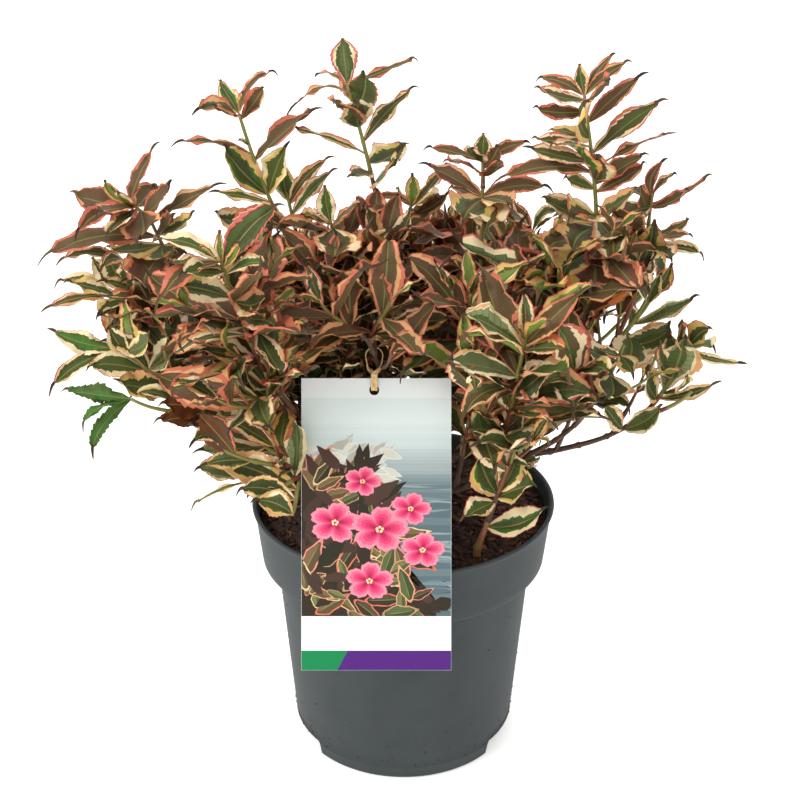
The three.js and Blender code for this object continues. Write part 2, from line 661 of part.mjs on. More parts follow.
function limbList() {
  const limbs = [...SHOWN_LIMBS.map((limb) => ({ ...limb })), ...backLimbs()];
  placeRoots(limbs);
  const foot = new THREE.Vector3(...SPROUT.root, 0);
  foot.z = soilTop(foot.length() - BOUGH.rootRadius) + GAP;
  limbs.push({ ...SPROUT, root: foot, rootDirection: UP });
  for (const limb of limbs) {
    limb.bough = boughCurve(limb);
    limb.shoots = shootsOf(limb);
    limb.boughPlaces = sampled(limb.bough, SAMPLE_SPACING.bough);
    limb.shootPlaces = limb.shoots.flatMap((curve) => sampled(curve, SAMPLE_SPACING.shoot));
  }
  return limbs;
}

const plant = new THREE.Group();
addMesh(plant, 'pot', toGeometry(potSolid()), FINISHES.pot);
addMesh(plant, 'soil', soilGeometry(), FINISHES.soil);
addMesh(plant, 'label', cardGeometry(), FINISHES.card);
addMesh(plant, 'label_strap', strapGeometry(), FINISHES.strap);
addMesh(plant, 'trunk', trunkGeometry(), FINISHES.bark);
const limbs = limbList();
limbs.forEach((limb, index) => {
  const radii = taper(BOUGH.rootRadius, BOUGH.tipRadius, BOUGH.steps);
  const barkFinish = limb.name === SPROUT.name ? FINISHES.youngStem : FINISHES.bark;
  addMesh(plant, `bough_${limb.name}`, limbGeometry(limb.bough, radii, BOUGH.sides), barkFinish);
  addMesh(plant, `leaves_${limb.name}`, toGeometry(massSolid(limb, index, limbs)), FINISHES.leaf);
});

export default plant;
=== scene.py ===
"""A potted dwarf weigela, dressed round its packed frame.

The growth is the frame's own rule, carried on to finer twigs: boughs leave a short trunk, shoots
follow each bough, and opposite leaves stand on the shoots and twigs. All lengths are in metres,
unless a comment says otherwise.
"""

import functools
import math
from dataclasses import dataclass

import bpy
import numpy as np
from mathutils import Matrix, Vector


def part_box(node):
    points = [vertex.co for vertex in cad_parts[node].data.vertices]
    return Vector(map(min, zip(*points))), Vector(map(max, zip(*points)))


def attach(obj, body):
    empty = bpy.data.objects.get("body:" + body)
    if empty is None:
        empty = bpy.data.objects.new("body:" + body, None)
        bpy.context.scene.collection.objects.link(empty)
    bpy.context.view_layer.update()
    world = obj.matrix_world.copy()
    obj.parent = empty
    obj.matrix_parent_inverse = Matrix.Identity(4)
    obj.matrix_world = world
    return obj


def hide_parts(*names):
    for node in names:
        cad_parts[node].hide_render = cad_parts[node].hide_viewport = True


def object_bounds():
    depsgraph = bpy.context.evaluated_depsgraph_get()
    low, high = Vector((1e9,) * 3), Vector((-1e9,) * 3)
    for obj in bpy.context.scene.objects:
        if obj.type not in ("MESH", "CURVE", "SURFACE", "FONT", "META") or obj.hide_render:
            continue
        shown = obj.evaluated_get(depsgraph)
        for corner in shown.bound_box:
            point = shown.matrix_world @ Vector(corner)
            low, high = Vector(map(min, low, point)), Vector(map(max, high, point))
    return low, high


bl_info = {
    "name": "Potted weigela",
    "version": (1, 0, 0),
    "blender": (4, 5, 0),
    "location": "3D View > Sidebar > Weigela",
    "description": "Builds a potted variegated weigela piece by piece round its frame",
    "category": "Add Mesh",
}

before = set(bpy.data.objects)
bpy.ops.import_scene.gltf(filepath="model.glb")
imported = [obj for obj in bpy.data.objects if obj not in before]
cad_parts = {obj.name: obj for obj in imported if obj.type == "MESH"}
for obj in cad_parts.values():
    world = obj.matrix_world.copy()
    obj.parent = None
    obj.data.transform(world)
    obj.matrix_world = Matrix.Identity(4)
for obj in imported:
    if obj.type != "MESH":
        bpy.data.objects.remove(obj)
CAD_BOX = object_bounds()
MM = 0.001
GAP = 0.3 * MM

# --- sizes shared with the frame

POT_CORNER = np.array(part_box("pot")[1])
RIM_RADIUS, RIM_HEIGHT = POT_CORNER[0], POT_CORNER[2]
WALL = 1.8 * MM
SOIL = {"edge": 0.156, "middle": 0.162, "flat": 0.022}
CARD = {
    "width": 0.0873, "height": 0.170, "thickness": 0.0006, "lean": math.radians(25.6),
    "middle": -0.0162, "above_rim": 0.1146, "hole_drop": 0.007, "hole_radius": 0.0029,
}
STRAP_SIDE = -0.0174
TRUNK = {"top": 0.202, "radii": (0.014, 0.011, 0.009, 0.0086, 0.0081, 0.0076), "lean_back": 0.003}
BOUGH = {"root": 0.0027, "tip": 0.0019, "bend": 0.3}
STEM = {"root": 0.0015, "tip": 0.0008, "bend": 0.36, "look_up": 0.45, "side_start": 0.07}
# The rings of limbs round the trunk: how high, their rise in degrees, their share of all.
ROOT_RINGS = (
    {"height": 0.172, "rise": 34, "share": 0.34},
    {"height": 0.184, "rise": 48, "share": 0.34},
    {"height": 0.195, "rise": 60, "share": 0.17},
    {"height": 0.202, "rise": 90, "share": 1.0},
)

# Each limb, in millimetres as [right, back, up]: the end of its bough, its shoots' tips, and then
# the length of its leaves.
SHOWN_LIMBS = (
    ("left", (-88, -4, 252), ((-148, -10, 358), (-174, 22, 300)), 68),
    ("left_low", (-84, -26, 232), ((-168, -25, 281), (-158, -55, 262)), 58),
    ("left_front", (-58, -46, 244), ((-99, -82, 358), (-104, -88, 278)), 66),
    ("left_foot", (-48, -52, 214), ((-106, -80, 244), (-84, -88, 216)), 54),
    ("upper_left", (-46, 12, 276), ((-95, 10, 413), (-72, 35, 364)), 60),
    ("top", (-8, 22, 282), ((-33, 30, 424), (-44, 0, 352)), 60),
    ("middle_back", (10, 50, 250), ((4, 60, 346), (33, 84, 324)), 58),
    ("rosette", (38, 15, 268), ((47, 20, 368), (80, 52, 326)), 60),
    ("right_tall", (82, -4, 254), ((102, 0, 426), (88, -38, 336)), 72),
    ("right_side", (102, 4, 238), ((147, 15, 364), (166, 40, 308)), 60),
    ("right_low", (134, -24, 228), ((172, -20, 288), (168, -45, 262)), 54),
    ("right_mid", (100, -46, 240), ((126, -50, 294), (95, -78, 288)), 56),
    ("front_right", (46, -60, 214), ((66, -92, 318), (36, -74, 296)), 62),
    ("front_middle", (-18.6, -44, 290), ((-46, -62, 324), (-8, -62, 326)), 58),
    ("middle_left", (-22, 0, 256), ((-12, 0, 332), (-44, -26, 330)), 58),
    ("middle_right", (28, -16, 252), ((38, -50, 326), (68, -25, 328)), 58),
)
SPROUT = ("sprout", (50, -64, 186), ((66, -76, 252),), 50)
SPROUT_ROOT = (0.044, -0.060)
# The fan of limbs at the back: headings in degrees, lengths in millimetres.
BACK_FAN = {
    "count": 8, "first": 14, "last": 170, "fork_reach": 66, "fork_height": 226, "tip_reach": 152,
    "tip_height": 282, "tip_spread": 13, "inner_reach": 112, "inner_height": 312, "uneven": 10, "leaf": 62,
}

# How far a limb's first shoot bows off its plain curve, in millimetres as [right, back, up].
SHOOT_BOWS = {"right_tall": (15, 0, 0), "top": (8, 0, 0), "right_side": (8, 0, 0)}

# The leaves that stand clear of the crown, limb by limb and shoot by shoot: the foot, the middle and
# the tip in the camera's frame, how far the tip comes forward in millimetres, the width as a share
# of the length, the sort, and a roll in degrees if there is one.
SHOWN_LEAVES = {
    ("upper_left", 0): (
        (241, 119, 218, 105, 192, 114, 24, 0.33, "half"), (240, 114, 228, 95, 218, 78, -10, 0.32, "green"),
        (243, 114, 253, 82, 278, 72, -14, 0.19, "sun", 10), (245, 118, 256, 98, 264, 86, 12, 0.34, "sun"),
        (241, 113, 240, 102, 244, 90, 18, 0.34, "young"), (240, 118, 226, 112, 210, 104, 30, 0.3, "sun"),
        (252, 154, 213, 142, 171, 144, 4, 0.1, "sun"), (256, 160, 285, 129, 323, 106, 12, 0.26, "sun"),
        (264, 196, 240, 167, 222, 142, 26, 0.32, "green"),
        (264, 198, 275, 168, 290, 140, 22, 0.33, "green"), (272, 202, 243, 196, 208, 191, 4, 0.17, "shade"),
        (264, 232, 236, 221, 213, 210, 16, 0.34, "gold"), (252, 150, 246, 143, 238, 140, 10, 0.4, "gold"),
        (266, 214, 250, 216, 232, 226, 26, 0.32, "sun"),
    ),
    ("upper_left", 1): (
        (286, 202, 284, 181, 285, 161, 8, 0.37, "green"), (290, 205, 306, 176, 336, 155, -6, 0.17, "half"),
        (291, 216, 313, 188, 339, 167, 10, 0.2, "half"), (289, 204, 297, 188, 312, 172, -16, 0.3, "gold"),
        (286, 198, 280, 190, 275, 186, 10, 0.3, "young"), (289, 240, 308, 230, 303, 206, 24, 0.36, "pale"),
        (288, 236, 278, 244, 264, 240, 32, 0.34, "pale"), (292, 250, 308, 240, 329, 238, 30, 0.22, "pale"),
        (286, 226, 272, 216, 262, 200, 16, 0.36, "green"), (290, 222, 306, 216, 322, 214, 24, 0.34, "half"),
        (288, 232, 292, 250, 282, 266, 40, 0.46, "half"),
    ),
    ("top", 0): (
        (348, 74, 344, 55, 342, 37, 12, 0.42, "rosy"), (342, 80, 330, 73, 315, 76, -20, 0.1, "half"),
        (352, 94, 319, 88, 285, 117, -4, 0.1, "sun"), (357, 80, 390, 68, 418, 58, -10, 0.09, "sun"),
        (358, 108, 364, 89, 362, 68, 16, 0.58, "crimped"), (356, 122, 345, 109, 333, 100, 34, 0.56, "sun"),
        (358, 127, 356, 113, 358, 98, 36, 0.42, "shade"), (371, 140, 387, 111, 420, 84, -8, 0.17, "half"),
        (366, 154, 327, 137, 283, 127, 10, 0.08, "gold"), (370, 162, 389, 154, 409, 142, -18, 0.5, "shade"),
        (374, 183, 386, 170, 400, 157, 30, 0.6, "shade"), (375, 170, 361, 173, 347, 177, 32, 0.3, "half"),
        (352, 100, 349, 87, 336, 74, -26, 0.25, "half"), (384, 190, 376, 204, 364, 214, 20, 0.4, "sun"),
    ),
    ("top", 1): (
        (330, 224, 326, 203, 325, 183, 10, 0.36, "green"), (334, 226, 348, 210, 364, 203, 22, 0.32, "sun"),
        (326, 226, 314, 218, 300, 214, 28, 0.36, "half"), (342, 240, 352, 222, 357, 198, 4, 0.3, "sun"),
        (330, 230, 336, 246, 330, 262, 40, 0.46, "half"),
    ),
    ("middle_left", 0): (
        (381, 238, 376, 210, 379, 187, -4, 0.28, "sun"), (380, 236, 366, 214, 356, 196, 2, 0.26, "sun"),
        (382, 238, 392, 214, 399, 192, 6, 0.26, "sun"), (382, 244, 372, 224, 366, 204, 26, 0.3, "half"),
        (384, 240, 404, 226, 410, 206, 12, 0.3, "half"),
    ),
    ("rosette", 1): (
        (528, 218, 516, 212, 506, 198, 0, 0.4, "sun"), (528, 222, 545, 212, 560, 216, 14, 0.36, "shade"),
        (526, 226, 518, 216, 500, 214, 26, 0.42, "half"), (524, 220, 500, 206, 478, 204, 18, 0.3, "half"),
    ),
    ("middle_back", 0): (
        (413, 205, 413, 188, 412, 171, 4, 0.36, "young"), (412, 204, 392, 196, 370, 199, 0, 0.2, "sun"),
        (415, 208, 433, 182, 449, 161, -8, 0.16, "half"), (413, 206, 403, 198, 396, 186, 0, 0.26, "shade"),
        (414, 210, 428, 198, 440, 196, 26, 0.4, "half"), (414, 214, 432, 206, 452, 190, 10, 0.24, "sun"),
    ),
    ("rosette", 0): (
        (480, 162, 452, 151, 423, 148, -6, 0.14, "sun"), (483, 163, 483, 147, 484, 131, 6, 0.46, "green"),
        (486, 162, 507, 147, 531, 142, -8, 0.19, "sun"), (485, 168, 494, 156, 497, 143, 10, 0.44, "sun"),
        (481, 174, 462, 163, 443, 161, 26, 0.28, "sun"), (481, 163, 475, 155, 470, 146, 24, 0.46, "green"),
        (484, 176, 493, 170, 500, 158, 28, 0.4, "sun"), (481, 196, 452, 176, 418, 162, -10, 0.22, "sun"),
        (486, 197, 518, 185, 554, 190, 6, 0.2, "sun"), (483, 198, 470, 208, 462, 224, 40, 0.5, "half"),
        (486, 198, 500, 199, 513, 208, 38, 0.34, "half"), (484, 200, 464, 190, 448, 188, -22, 0.2, "sun"),
        (484, 200, 488, 214, 482, 236, 40, 0.4, "half"),
    ),
    ("right_tall", 0): (
        (582, 92, 581, 78, 579, 62, 2, 0.32, "green"), (583, 90, 560, 81, 536, 79, -6, 0.22, "sun"),
        (583, 98, 558, 95, 533, 86, 18, 0.32, "half"), (582, 112, 556, 112, 531, 107, 10, 0.25, "sun"),
        (581, 141, 555, 140, 530, 138, 4, 0.21, "half"), (583, 138, 566, 131, 548, 130, -12, 0.3, "gold"),
        (584, 146, 567, 144, 550, 145, 30, 0.24, "young"), (585, 164, 556, 154, 522, 146, 2, 0.25, "half"),
        (592, 172, 545, 166, 491, 184, 6, 0.17, "sun"), (585, 90, 599, 70, 616, 52, -10, 0.13, "sun"),
        (588, 95, 607, 74, 633, 60, 2, 0.19, "sun"), (587, 104, 600, 88, 611, 78, 24, 0.6, "sun"),
        (588, 140, 582, 118, 588, 98, 28, 0.62, "gold"), (594, 122, 613, 98, 649, 70, -6, 0.17, "sun"),
        (598, 154, 629, 122, 669, 97, 2, 0.19, "half"), (602, 168, 636, 145, 677, 132, -10, 0.1, "sun"),
        (598, 186, 622, 166, 650, 153, 12, 0.24, "sun"), (600, 192, 626, 176, 648, 161, 4, 0.24, "sun"),
        (592, 170, 586, 158, 582, 146, 30, 0.5, "green"), (594, 180, 600, 168, 596, 152, 30, 0.44, "half"),
        (590, 222, 562, 207, 541, 196, 22, 0.3, "half"), (596, 216, 618, 202, 640, 186, 24, 0.34, "half"),
        (590, 188, 578, 182, 562, 178, 10, 0.34, "half"), (592, 214, 582, 212, 568, 218, 40, 0.44, "half"),
        (593, 258, 594, 288, 582, 319, 30, 0.62, "burnt"), (588, 240, 562, 240, 540, 252, 34, 0.36, "half"),
        (594, 220, 612, 240, 606, 268, 34, 0.4, "half"), (594, 236, 614, 230, 630, 238, 36, 0.44, "half"),
        (590, 226, 578, 236, 574, 256, 38, 0.44, "half"), (594, 244, 600, 262, 614, 276, 26, 0.4, "sun"),
        (588, 250, 570, 262, 566, 284, 34, 0.36, "gold"),
    ),
    ("right_side", 0): (
        (645, 196, 652, 176, 668, 157, 2, 0.22, "sun"), (655, 196, 664, 180, 678, 174, 8, 0.22, "half"),
        (655, 206, 684, 192, 713, 172, -8, 0.09, "sun"), (656, 207, 672, 200, 690, 188, 24, 0.25, "sun"),
        (650, 206, 630, 212, 612, 228, 24, 0.34, "half"), (650, 200, 636, 190, 624, 192, -16, 0.45, "half"),
        (654, 238, 676, 228, 689, 217, 2, 0.18, "half"), (654, 242, 674, 235, 693, 236, 20, 0.22, "half"),
        (646, 268, 650, 244, 655, 216, 22, 0.4, "shade"), (642, 258, 634, 240, 622, 224, 4, 0.4, "half"),
        (640, 300, 628, 282, 612, 276, 20, 0.43, "gold"), (648, 250, 682, 247, 704, 258, 10, 0.2, "shade"),
        (646, 216, 644, 200, 640, 184, 10, 0.49, "sun"), (646, 262, 630, 256, 616, 244, 30, 0.4, "half"),
        (648, 244, 662, 250, 672, 262, 30, 0.4, "shade"),
    ),
    ("right_side", 1): (
        (646, 304, 653, 288, 663, 271, 14, 0.32, "shade"), (644, 290, 640, 272, 632, 256, 20, 0.4, "shade"),
        (640, 332, 669, 311, 701, 293, 2, 0.16, "grey"), (643, 345, 632, 352, 616, 372, 30, 0.5, "grey"),
        (640, 335, 632, 316, 620, 298, 14, 0.44, "shade"),
        (628, 360, 656, 338, 671, 318, 14, 0.38, "shade"), (665, 276, 658, 264, 655, 248, 16, 0.5, "shade"),
        (655, 294, 665, 279, 673, 261, 16, 0.32, "half"),
    ),
    ("right_low", 0): (
        (662, 402, 691, 393, 722, 380, 12, 0.18, "shade"), (669, 394, 672, 360, 666, 326, 10, 0.34, "grey"),
        (672, 380, 680, 358, 686, 332, 18, 0.6, "grey"), (688, 350, 716, 360, 747, 363, 2, 0.13, "pale"),
        (686, 350, 698, 334, 713, 328, 16, 0.56, "gold"), (682, 350, 680, 334, 683, 318, 20, 0.44, "half"),
        (661, 403, 650, 383, 648, 362, 22, 0.5, "shade"), (627, 438, 646, 420, 664, 402, 22, 0.3, "grey"),
        (625, 434, 614, 418, 600, 400, 18, 0.34, "shade"), (688, 346, 702, 344, 716, 350, 26, 0.5, "pale"),
        (676, 380, 662, 360, 660, 338, 26, 0.3, "shade"), (668, 398, 684, 386, 686, 374, 30, 0.3, "shade"),
    ),
    ("right_mid", 1): (
        (548, 420, 574, 411, 599, 411, 16, 0.26, "shade"), (576, 366, 568, 344, 556, 322, 24, 0.46, "half"),
        (578, 372, 596, 366, 614, 376, 26, 0.4, "shade"), (577, 378, 560, 376, 540, 386, 24, 0.4, "shade"),
        (574, 384, 584, 398, 604, 402, 30, 0.3, "half"), (598, 404, 612, 400, 630, 412, 20, 0.4, "shade"),
    ),
    ("right_mid", 0): (
        (620, 356, 610, 352, 598, 350, 16, 0.3, "half"), (618, 362, 598, 354, 582, 344, 22, 0.44, "shade"),
        (612, 376, 614, 390, 604, 400, 30, 0.52, "shade"), (620, 356, 628, 364, 634, 378, 24, 0.34, "gold"),
    ),
    ("front_right", 0): (
        (527, 345, 523, 325, 522, 306, 4, 0.25, "young"), (523, 347, 488, 321, 459, 318, 18, 0.38, "grey"),
        (518, 377, 478, 364, 440, 363, 20, 0.32, "grey"), (528, 348, 552, 318, 590, 284, 24, 0.19, "sun"),
        (515, 386, 480, 394, 461, 425, 16, 0.28, "half"), (520, 398, 536, 378, 553, 364, 26, 0.44, "shade"),
        (521, 403, 560, 388, 600, 397, 22, 0.33, "rosy"), (522, 409, 560, 411, 598, 402, 14, 0.18, "rosy"),
        (506, 434, 486, 428, 465, 430, 26, 0.62, "grey"), (505, 438, 520, 442, 532, 436, 30, 0.66, "grey"),
        (514, 412, 506, 392, 496, 374, 10, 0.4, "shade"), (526, 342, 520, 332, 512, 324, 16, 0.26, "young"),
        (527, 350, 548, 346, 570, 352, 20, 0.4, "half"),
    ),
    ("sprout", 0): (
        (497, 495, 484, 470, 478, 444, 16, 0.5, "green"), (499, 492, 512, 470, 517, 449, 8, 0.44, "green"),
        (499, 498, 518, 486, 537, 486, 22, 0.56, "green"),
        (495, 502, 478, 508, 460, 521, 12, 0.46, "green"),
        (487, 527, 520, 522, 549, 505, 16, 0.36, "green"), (503, 470, 494, 450, 490, 432, 14, 0.5, "grey"),
    ),
    ("left_front", 0): (
        (220, 264, 188, 242, 152, 241, 6, 0.23, "pale"), (220, 268, 192, 262, 166, 264, 14, 0.3, "green"),
        (222, 272, 200, 270, 178, 276, 26, 0.36, "green"), (222, 264, 219, 246, 221, 228, 0, 0.22, "young"),
        (228, 264, 250, 226, 285, 203, 2, 0.27, "crimped"), (218, 262, 182, 273, 154, 312, 16, 0.21, "sun"),
        (228, 300, 200, 288, 170, 287, 14, 0.36, "half"), (224, 266, 234, 254, 240, 240, 14, 0.26, "young"),
        (234, 302, 253, 303, 271, 290, 22, 0.44, "half"), (236, 330, 210, 318, 186, 314, 18, 0.4, "half"),
        (244, 338, 203, 338, 164, 364, 10, 0.18, "gold"), (256, 368, 230, 354, 200, 349, 22, 0.34, "shade"),
        (260, 400, 280, 370, 304, 345, 16, 0.32, "grey"), (257, 398, 252, 376, 246, 352, 22, 0.3, "pale"),
        (222, 266, 208, 252, 198, 246, 24, 0.3, "young"), (230, 272, 250, 262, 268, 266, 20, 0.26, "green"),
        (240, 320, 262, 318, 280, 330, 30, 0.36, "half"),
    ),
    ("left", 0): (
        (130, 209, 98, 201, 68, 190, 4, 0.41, "sun"), (129, 206, 112, 193, 104, 178, 6, 0.28, "young"),
        (128, 204, 138, 176, 160, 139, -8, 0.17, "sun"), (140, 216, 158, 200, 174, 177, 8, 0.46, "sun"),
        (134, 210, 148, 194, 157, 183, -20, 0.53, "sun"), (150, 224, 185, 200, 227, 182, 2, 0.18, "sun"),
        (122, 210, 96, 214, 75, 238, 20, 0.2, "sun"), (150, 241, 92, 237, 37, 263, 4, 0.18, "sun"),
        (150, 250, 128, 250, 104, 246, 20, 0.36, "gold"), (152, 262, 140, 272, 126, 288, 24, 0.48, "half"),
        (150, 236, 178, 225, 197, 209, 14, 0.34, "gold"), (134, 212, 118, 222, 106, 238, 34, 0.29, "half"),
        (148, 236, 164, 226, 176, 212, 28, 0.43, "sun"), (124, 247, 88, 252, 56, 264, 2, 0.16, "half"),
        (150, 250, 164, 254, 178, 250, 30, 0.5, "half"), (152, 262, 172, 254, 188, 256, 4, 0.38, "sun"),
        (132, 210, 124, 200, 116, 190, 22, 0.43, "young"), (154, 258, 146, 272, 150, 292, 34, 0.48, "sun"),
        (136, 216, 142, 228, 136, 244, 34, 0.43, "sun"), (128, 212, 112, 208, 96, 214, 30, 0.43, "sun"),
        (156, 262, 170, 270, 186, 268, 20, 0.43, "half"), (126, 250, 112, 258, 100, 272, 12, 0.41, "half"),
    ),
    ("left", 1): (
        (112, 294, 82, 279, 54, 285, 2, 0.19, "pale"), (118, 298, 90, 286, 62, 282, 14, 0.28, "gold"),
        (112, 298, 76, 298, 41, 311, 6, 0.15, "half"), (152, 305, 126, 288, 96, 281, 16, 0.24, "pale"),
        (118, 288, 104, 272, 90, 256, 4, 0.38, "shade"), (120, 285, 112, 265, 102, 246, 12, 0.4, "grey"),
        (130, 300, 112, 304, 96, 318, 26, 0.42, "shade"), (140, 300, 148, 284, 150, 268, 20, 0.42, "half"),
        (124, 292, 126, 276, 118, 262, 20, 0.42, "shade"), (128, 300, 122, 316, 106, 330, 26, 0.4, "shade"),
        (128, 302, 114, 310, 98, 316, 20, 0.59, "shade"), (132, 304, 120, 322, 108, 342, 20, 0.52, "half"),
    ),
    ("left_low", 0): (
        (118, 352, 80, 342, 47, 327, 6, 0.24, "vivid"), (116, 352, 76, 365, 49, 393, 14, 0.17, "shade"),
        (148, 378, 112, 364, 86, 368, 16, 0.31, "shade"), (158, 358, 128, 346, 100, 341, 8, 0.31, "shade"),
        (166, 392, 139, 386, 112, 378, 24, 0.43, "shade"), (128, 350, 142, 344, 150, 330, 16, 0.45, "pale"),
        (132, 354, 116, 340, 108, 324, 10, 0.36, "shade"), (150, 366, 166, 352, 170, 334, 20, 0.4, "grey"),
    ),
    ("left_low", 1): (
        (122, 397, 92, 393, 60, 390, 4, 0.22, "plain"), (120, 400, 101, 427, 93, 456, 8, 0.17, "plain"),
        (116, 400, 96, 409, 83, 429, 16, 0.16, "plain"), (186, 402, 156, 392, 128, 399, 12, 0.2, "pale"),
        (206, 406, 182, 405, 158, 404, 18, 0.4, "brown"), (206, 416, 180, 417, 153, 421, 18, 0.34, "brown"),
    ),
    ("left_foot", 0): (
        (272, 438, 228, 405, 183, 389, 16, 0.22, "pale"), (262, 448, 226, 422, 190, 402, 22, 0.28, "shade"),
        (236, 434, 212, 428, 186, 424, 12, 0.39, "brown"),
        (222, 430, 206, 434, 189, 447, 18, 0.39, "shade"), (262, 454, 228, 448, 192, 452, 16, 0.32, "grey"),
        (240, 446, 214, 430, 196, 412, 22, 0.32, "brown"), (252, 460, 226, 460, 200, 466, 12, 0.3, "shade"),
    ),
    ("left_foot", 1): (
        (298, 490, 250, 468, 206, 462, 10, 0.26, "shade"), (252, 485, 217, 491, 191, 508, 4, 0.07, "pale"),
        (300, 518, 275, 503, 250, 500, 10, 0.44, "green"), (240, 480, 216, 468, 194, 470, 14, 0.4, "grey"),
        (292, 470, 296, 440, 293, 412, 14, 0.33, "grey"), (262, 478, 256, 488, 247, 497, 10, 0.33, "shade"),
        (292, 500, 262, 488, 236, 492, 16, 0.31, "shade"),
    ),
}

# Twigs that carry the shown leaves on from their shoot: where on the shoot each starts, then its
# tip in the camera's frame, and how far the tip comes forward in millimetres.
SHOWN_TWIGS = {
    ("rosette", 0): ((0.97, 483, 153, 0),),
    ("left", 0): ((0.97, 131, 201, 2), (0.55, 126, 262, 12)),
    ("left", 1): ((0.9, 112, 294, 4),),
    ("right_side", 1): ((0.1, 646, 300, 12),),
    ("left_foot", 1): ((0.2, 292, 515, 14), (0.3, 240, 478, 4)),
    ("left_foot", 0): ((0.1, 244, 430, 2),),
}

UP = np.array((0.0, 0.0, 1.0))
RIGHT = np.array((1.0, 0.0, 0.0))
CARD_UP = np.array((0.0, math.sin(CARD["lean"]), math.cos(CARD["lean"])))
CARD_FRONT = np.array((0.0, -CARD_UP[2], CARD_UP[1]))
RIM_FRONT = np.array((CARD["middle"], GAP - RIM_RADIUS, RIM_HEIGHT))
CARD_TOP = RIM_FRONT + CARD_FRONT * GAP + CARD_UP * CARD["above_rim"]
HOLE = CARD_TOP - CARD_UP * CARD["hole_drop"]
TRUNK_FOOT = SOIL["middle"] + GAP


# --- what the camera sees

CAMERA = {"place": (-0.0024, -0.8738, 0.6538), "look_down": 25.6, "lens": 70.5, "sensor": 36.0, "frame": 800}
EYE = np.array(CAMERA["place"])
TILT = math.radians(CAMERA["look_down"])
FRAME_SCALE = CAMERA["lens"] / CAMERA["sensor"] * CAMERA["frame"]
FRAME_MIDDLE = CAMERA["frame"] / 2

# The crown's outline in the camera's frame, that leaves dealt out by the rule stay within.
CROWN_OUTLINE = (
    (168, 405), (130, 392), (108, 372), (98, 350), (104, 330), (98, 305), (88, 292), (98, 268),
    (108, 246), (98, 232), (108, 214), (128, 204), (150, 212), (160, 232), (158, 262), (172, 268),
    (206, 268), (222, 262), (240, 240), (262, 208), (285, 205), (306, 216), (328, 206), (346, 212),
    (374, 196), (394, 208), (413, 202), (436, 192), (456, 186), (478, 197), (500, 197), (524, 204),
    (546, 214), (570, 208), (592, 196), (622, 196), (650, 190), (664, 206), (662, 230), (668, 248),
    (656, 276), (650, 304), (628, 316), (604, 318), (598, 336), (606, 356), (618, 360), (620, 404),
    (640, 404), (640, 356), (654, 330), (684, 334), (700, 352), (690, 378), (664, 402), (634, 430),
    (612, 424), (604, 408), (566, 418), (552, 440), (536, 462), (516, 480), (450, 500), (300, 512),
    (268, 500), (246, 474), (226, 446), (206, 430),
)


def in_view(places):
    """Where places fall in the camera's frame, from its upper left corner, and how far ahead."""
    away = np.asarray(places) - EYE
    ahead = away[..., 1] * math.cos(TILT) - away[..., 2] * math.sin(TILT)
    rise = away[..., 1] * math.sin(TILT) + away[..., 2] * math.cos(TILT)
    right = FRAME_MIDDLE + FRAME_SCALE * away[..., 0] / ahead
    down = FRAME_MIDDLE - FRAME_SCALE * rise / ahead
    return np.stack((right, down), axis=-1), ahead


def from_view(right, down, ahead):
    """The place that falls at a point of the camera's frame, a given way ahead of it."""
    x, rise = (right - FRAME_MIDDLE) / FRAME_SCALE * ahead, (FRAME_MIDDLE - down) / FRAME_SCALE * ahead
    y = rise * math.sin(TILT) + ahead * math.cos(TILT)
    z = rise * math.cos(TILT) - ahead * math.sin(TILT)
    return EYE + np.array((x, y, z))


def within(points, outline):
    """Whether each point lies inside a closed outline."""
    inside = np.zeros(len(points), bool)
    x, y = points[:, 0], points[:, 1]
    for (x1, y1), (x2, y2) in zip(outline, outline[1:] + outline[:1]):
        if y1 == y2:
            continue
        crosses = (y1 > y) != (y2 > y)
        inside ^= crosses & (x < (x2 - x1) * (y - y1) / (y2 - y1) + x1)
    return inside


# --- helpers

SEED_STEPS = (12.9898, 78.233, 37.719, 9.151)
SEED_SCALE = 43758.5453
CURVE_STEPS = 65


def jitter(*keys):
    """The seeded rule: the same keys always give the same number between -1 and 1.

    The last key only tells one use of the rule from another.
    """
    mixed = sum((key + 1) * step for key, step in zip(keys, SEED_STEPS))
    spun = math.sin(mixed) * SEED_SCALE
    return 2 * (spun - math.floor(spun)) - 1


def unit(vector):
    return vector / np.linalg.norm(vector)


def lerp(low, high, share):
    return low + (high - low) * share


def smooth(share):
    share = np.clip(share, 0.0, 1.0)
    return share * share * (3 - 2 * share)


def turned(side, upper, cosine, sine):
    """Two crosswise directions, turned together by an angle."""
    return side * cosine + upper * sine, upper * cosine - side * sine


def polar(heading, reach, height):
    angle = math.radians(heading)
    return np.array((reach * math.cos(angle), reach * math.sin(angle), height))


def soil_top(radius):
    """The soil's height, flat in the middle and lower at the wall."""
    inner = RIM_RADIUS - 2 * WALL
    share = np.clip((radius - SOIL["flat"]) / (inner - SOIL["flat"]), 0.0, 1.0)
    return lerp(SOIL["middle"], SOIL["edge"], share * share)


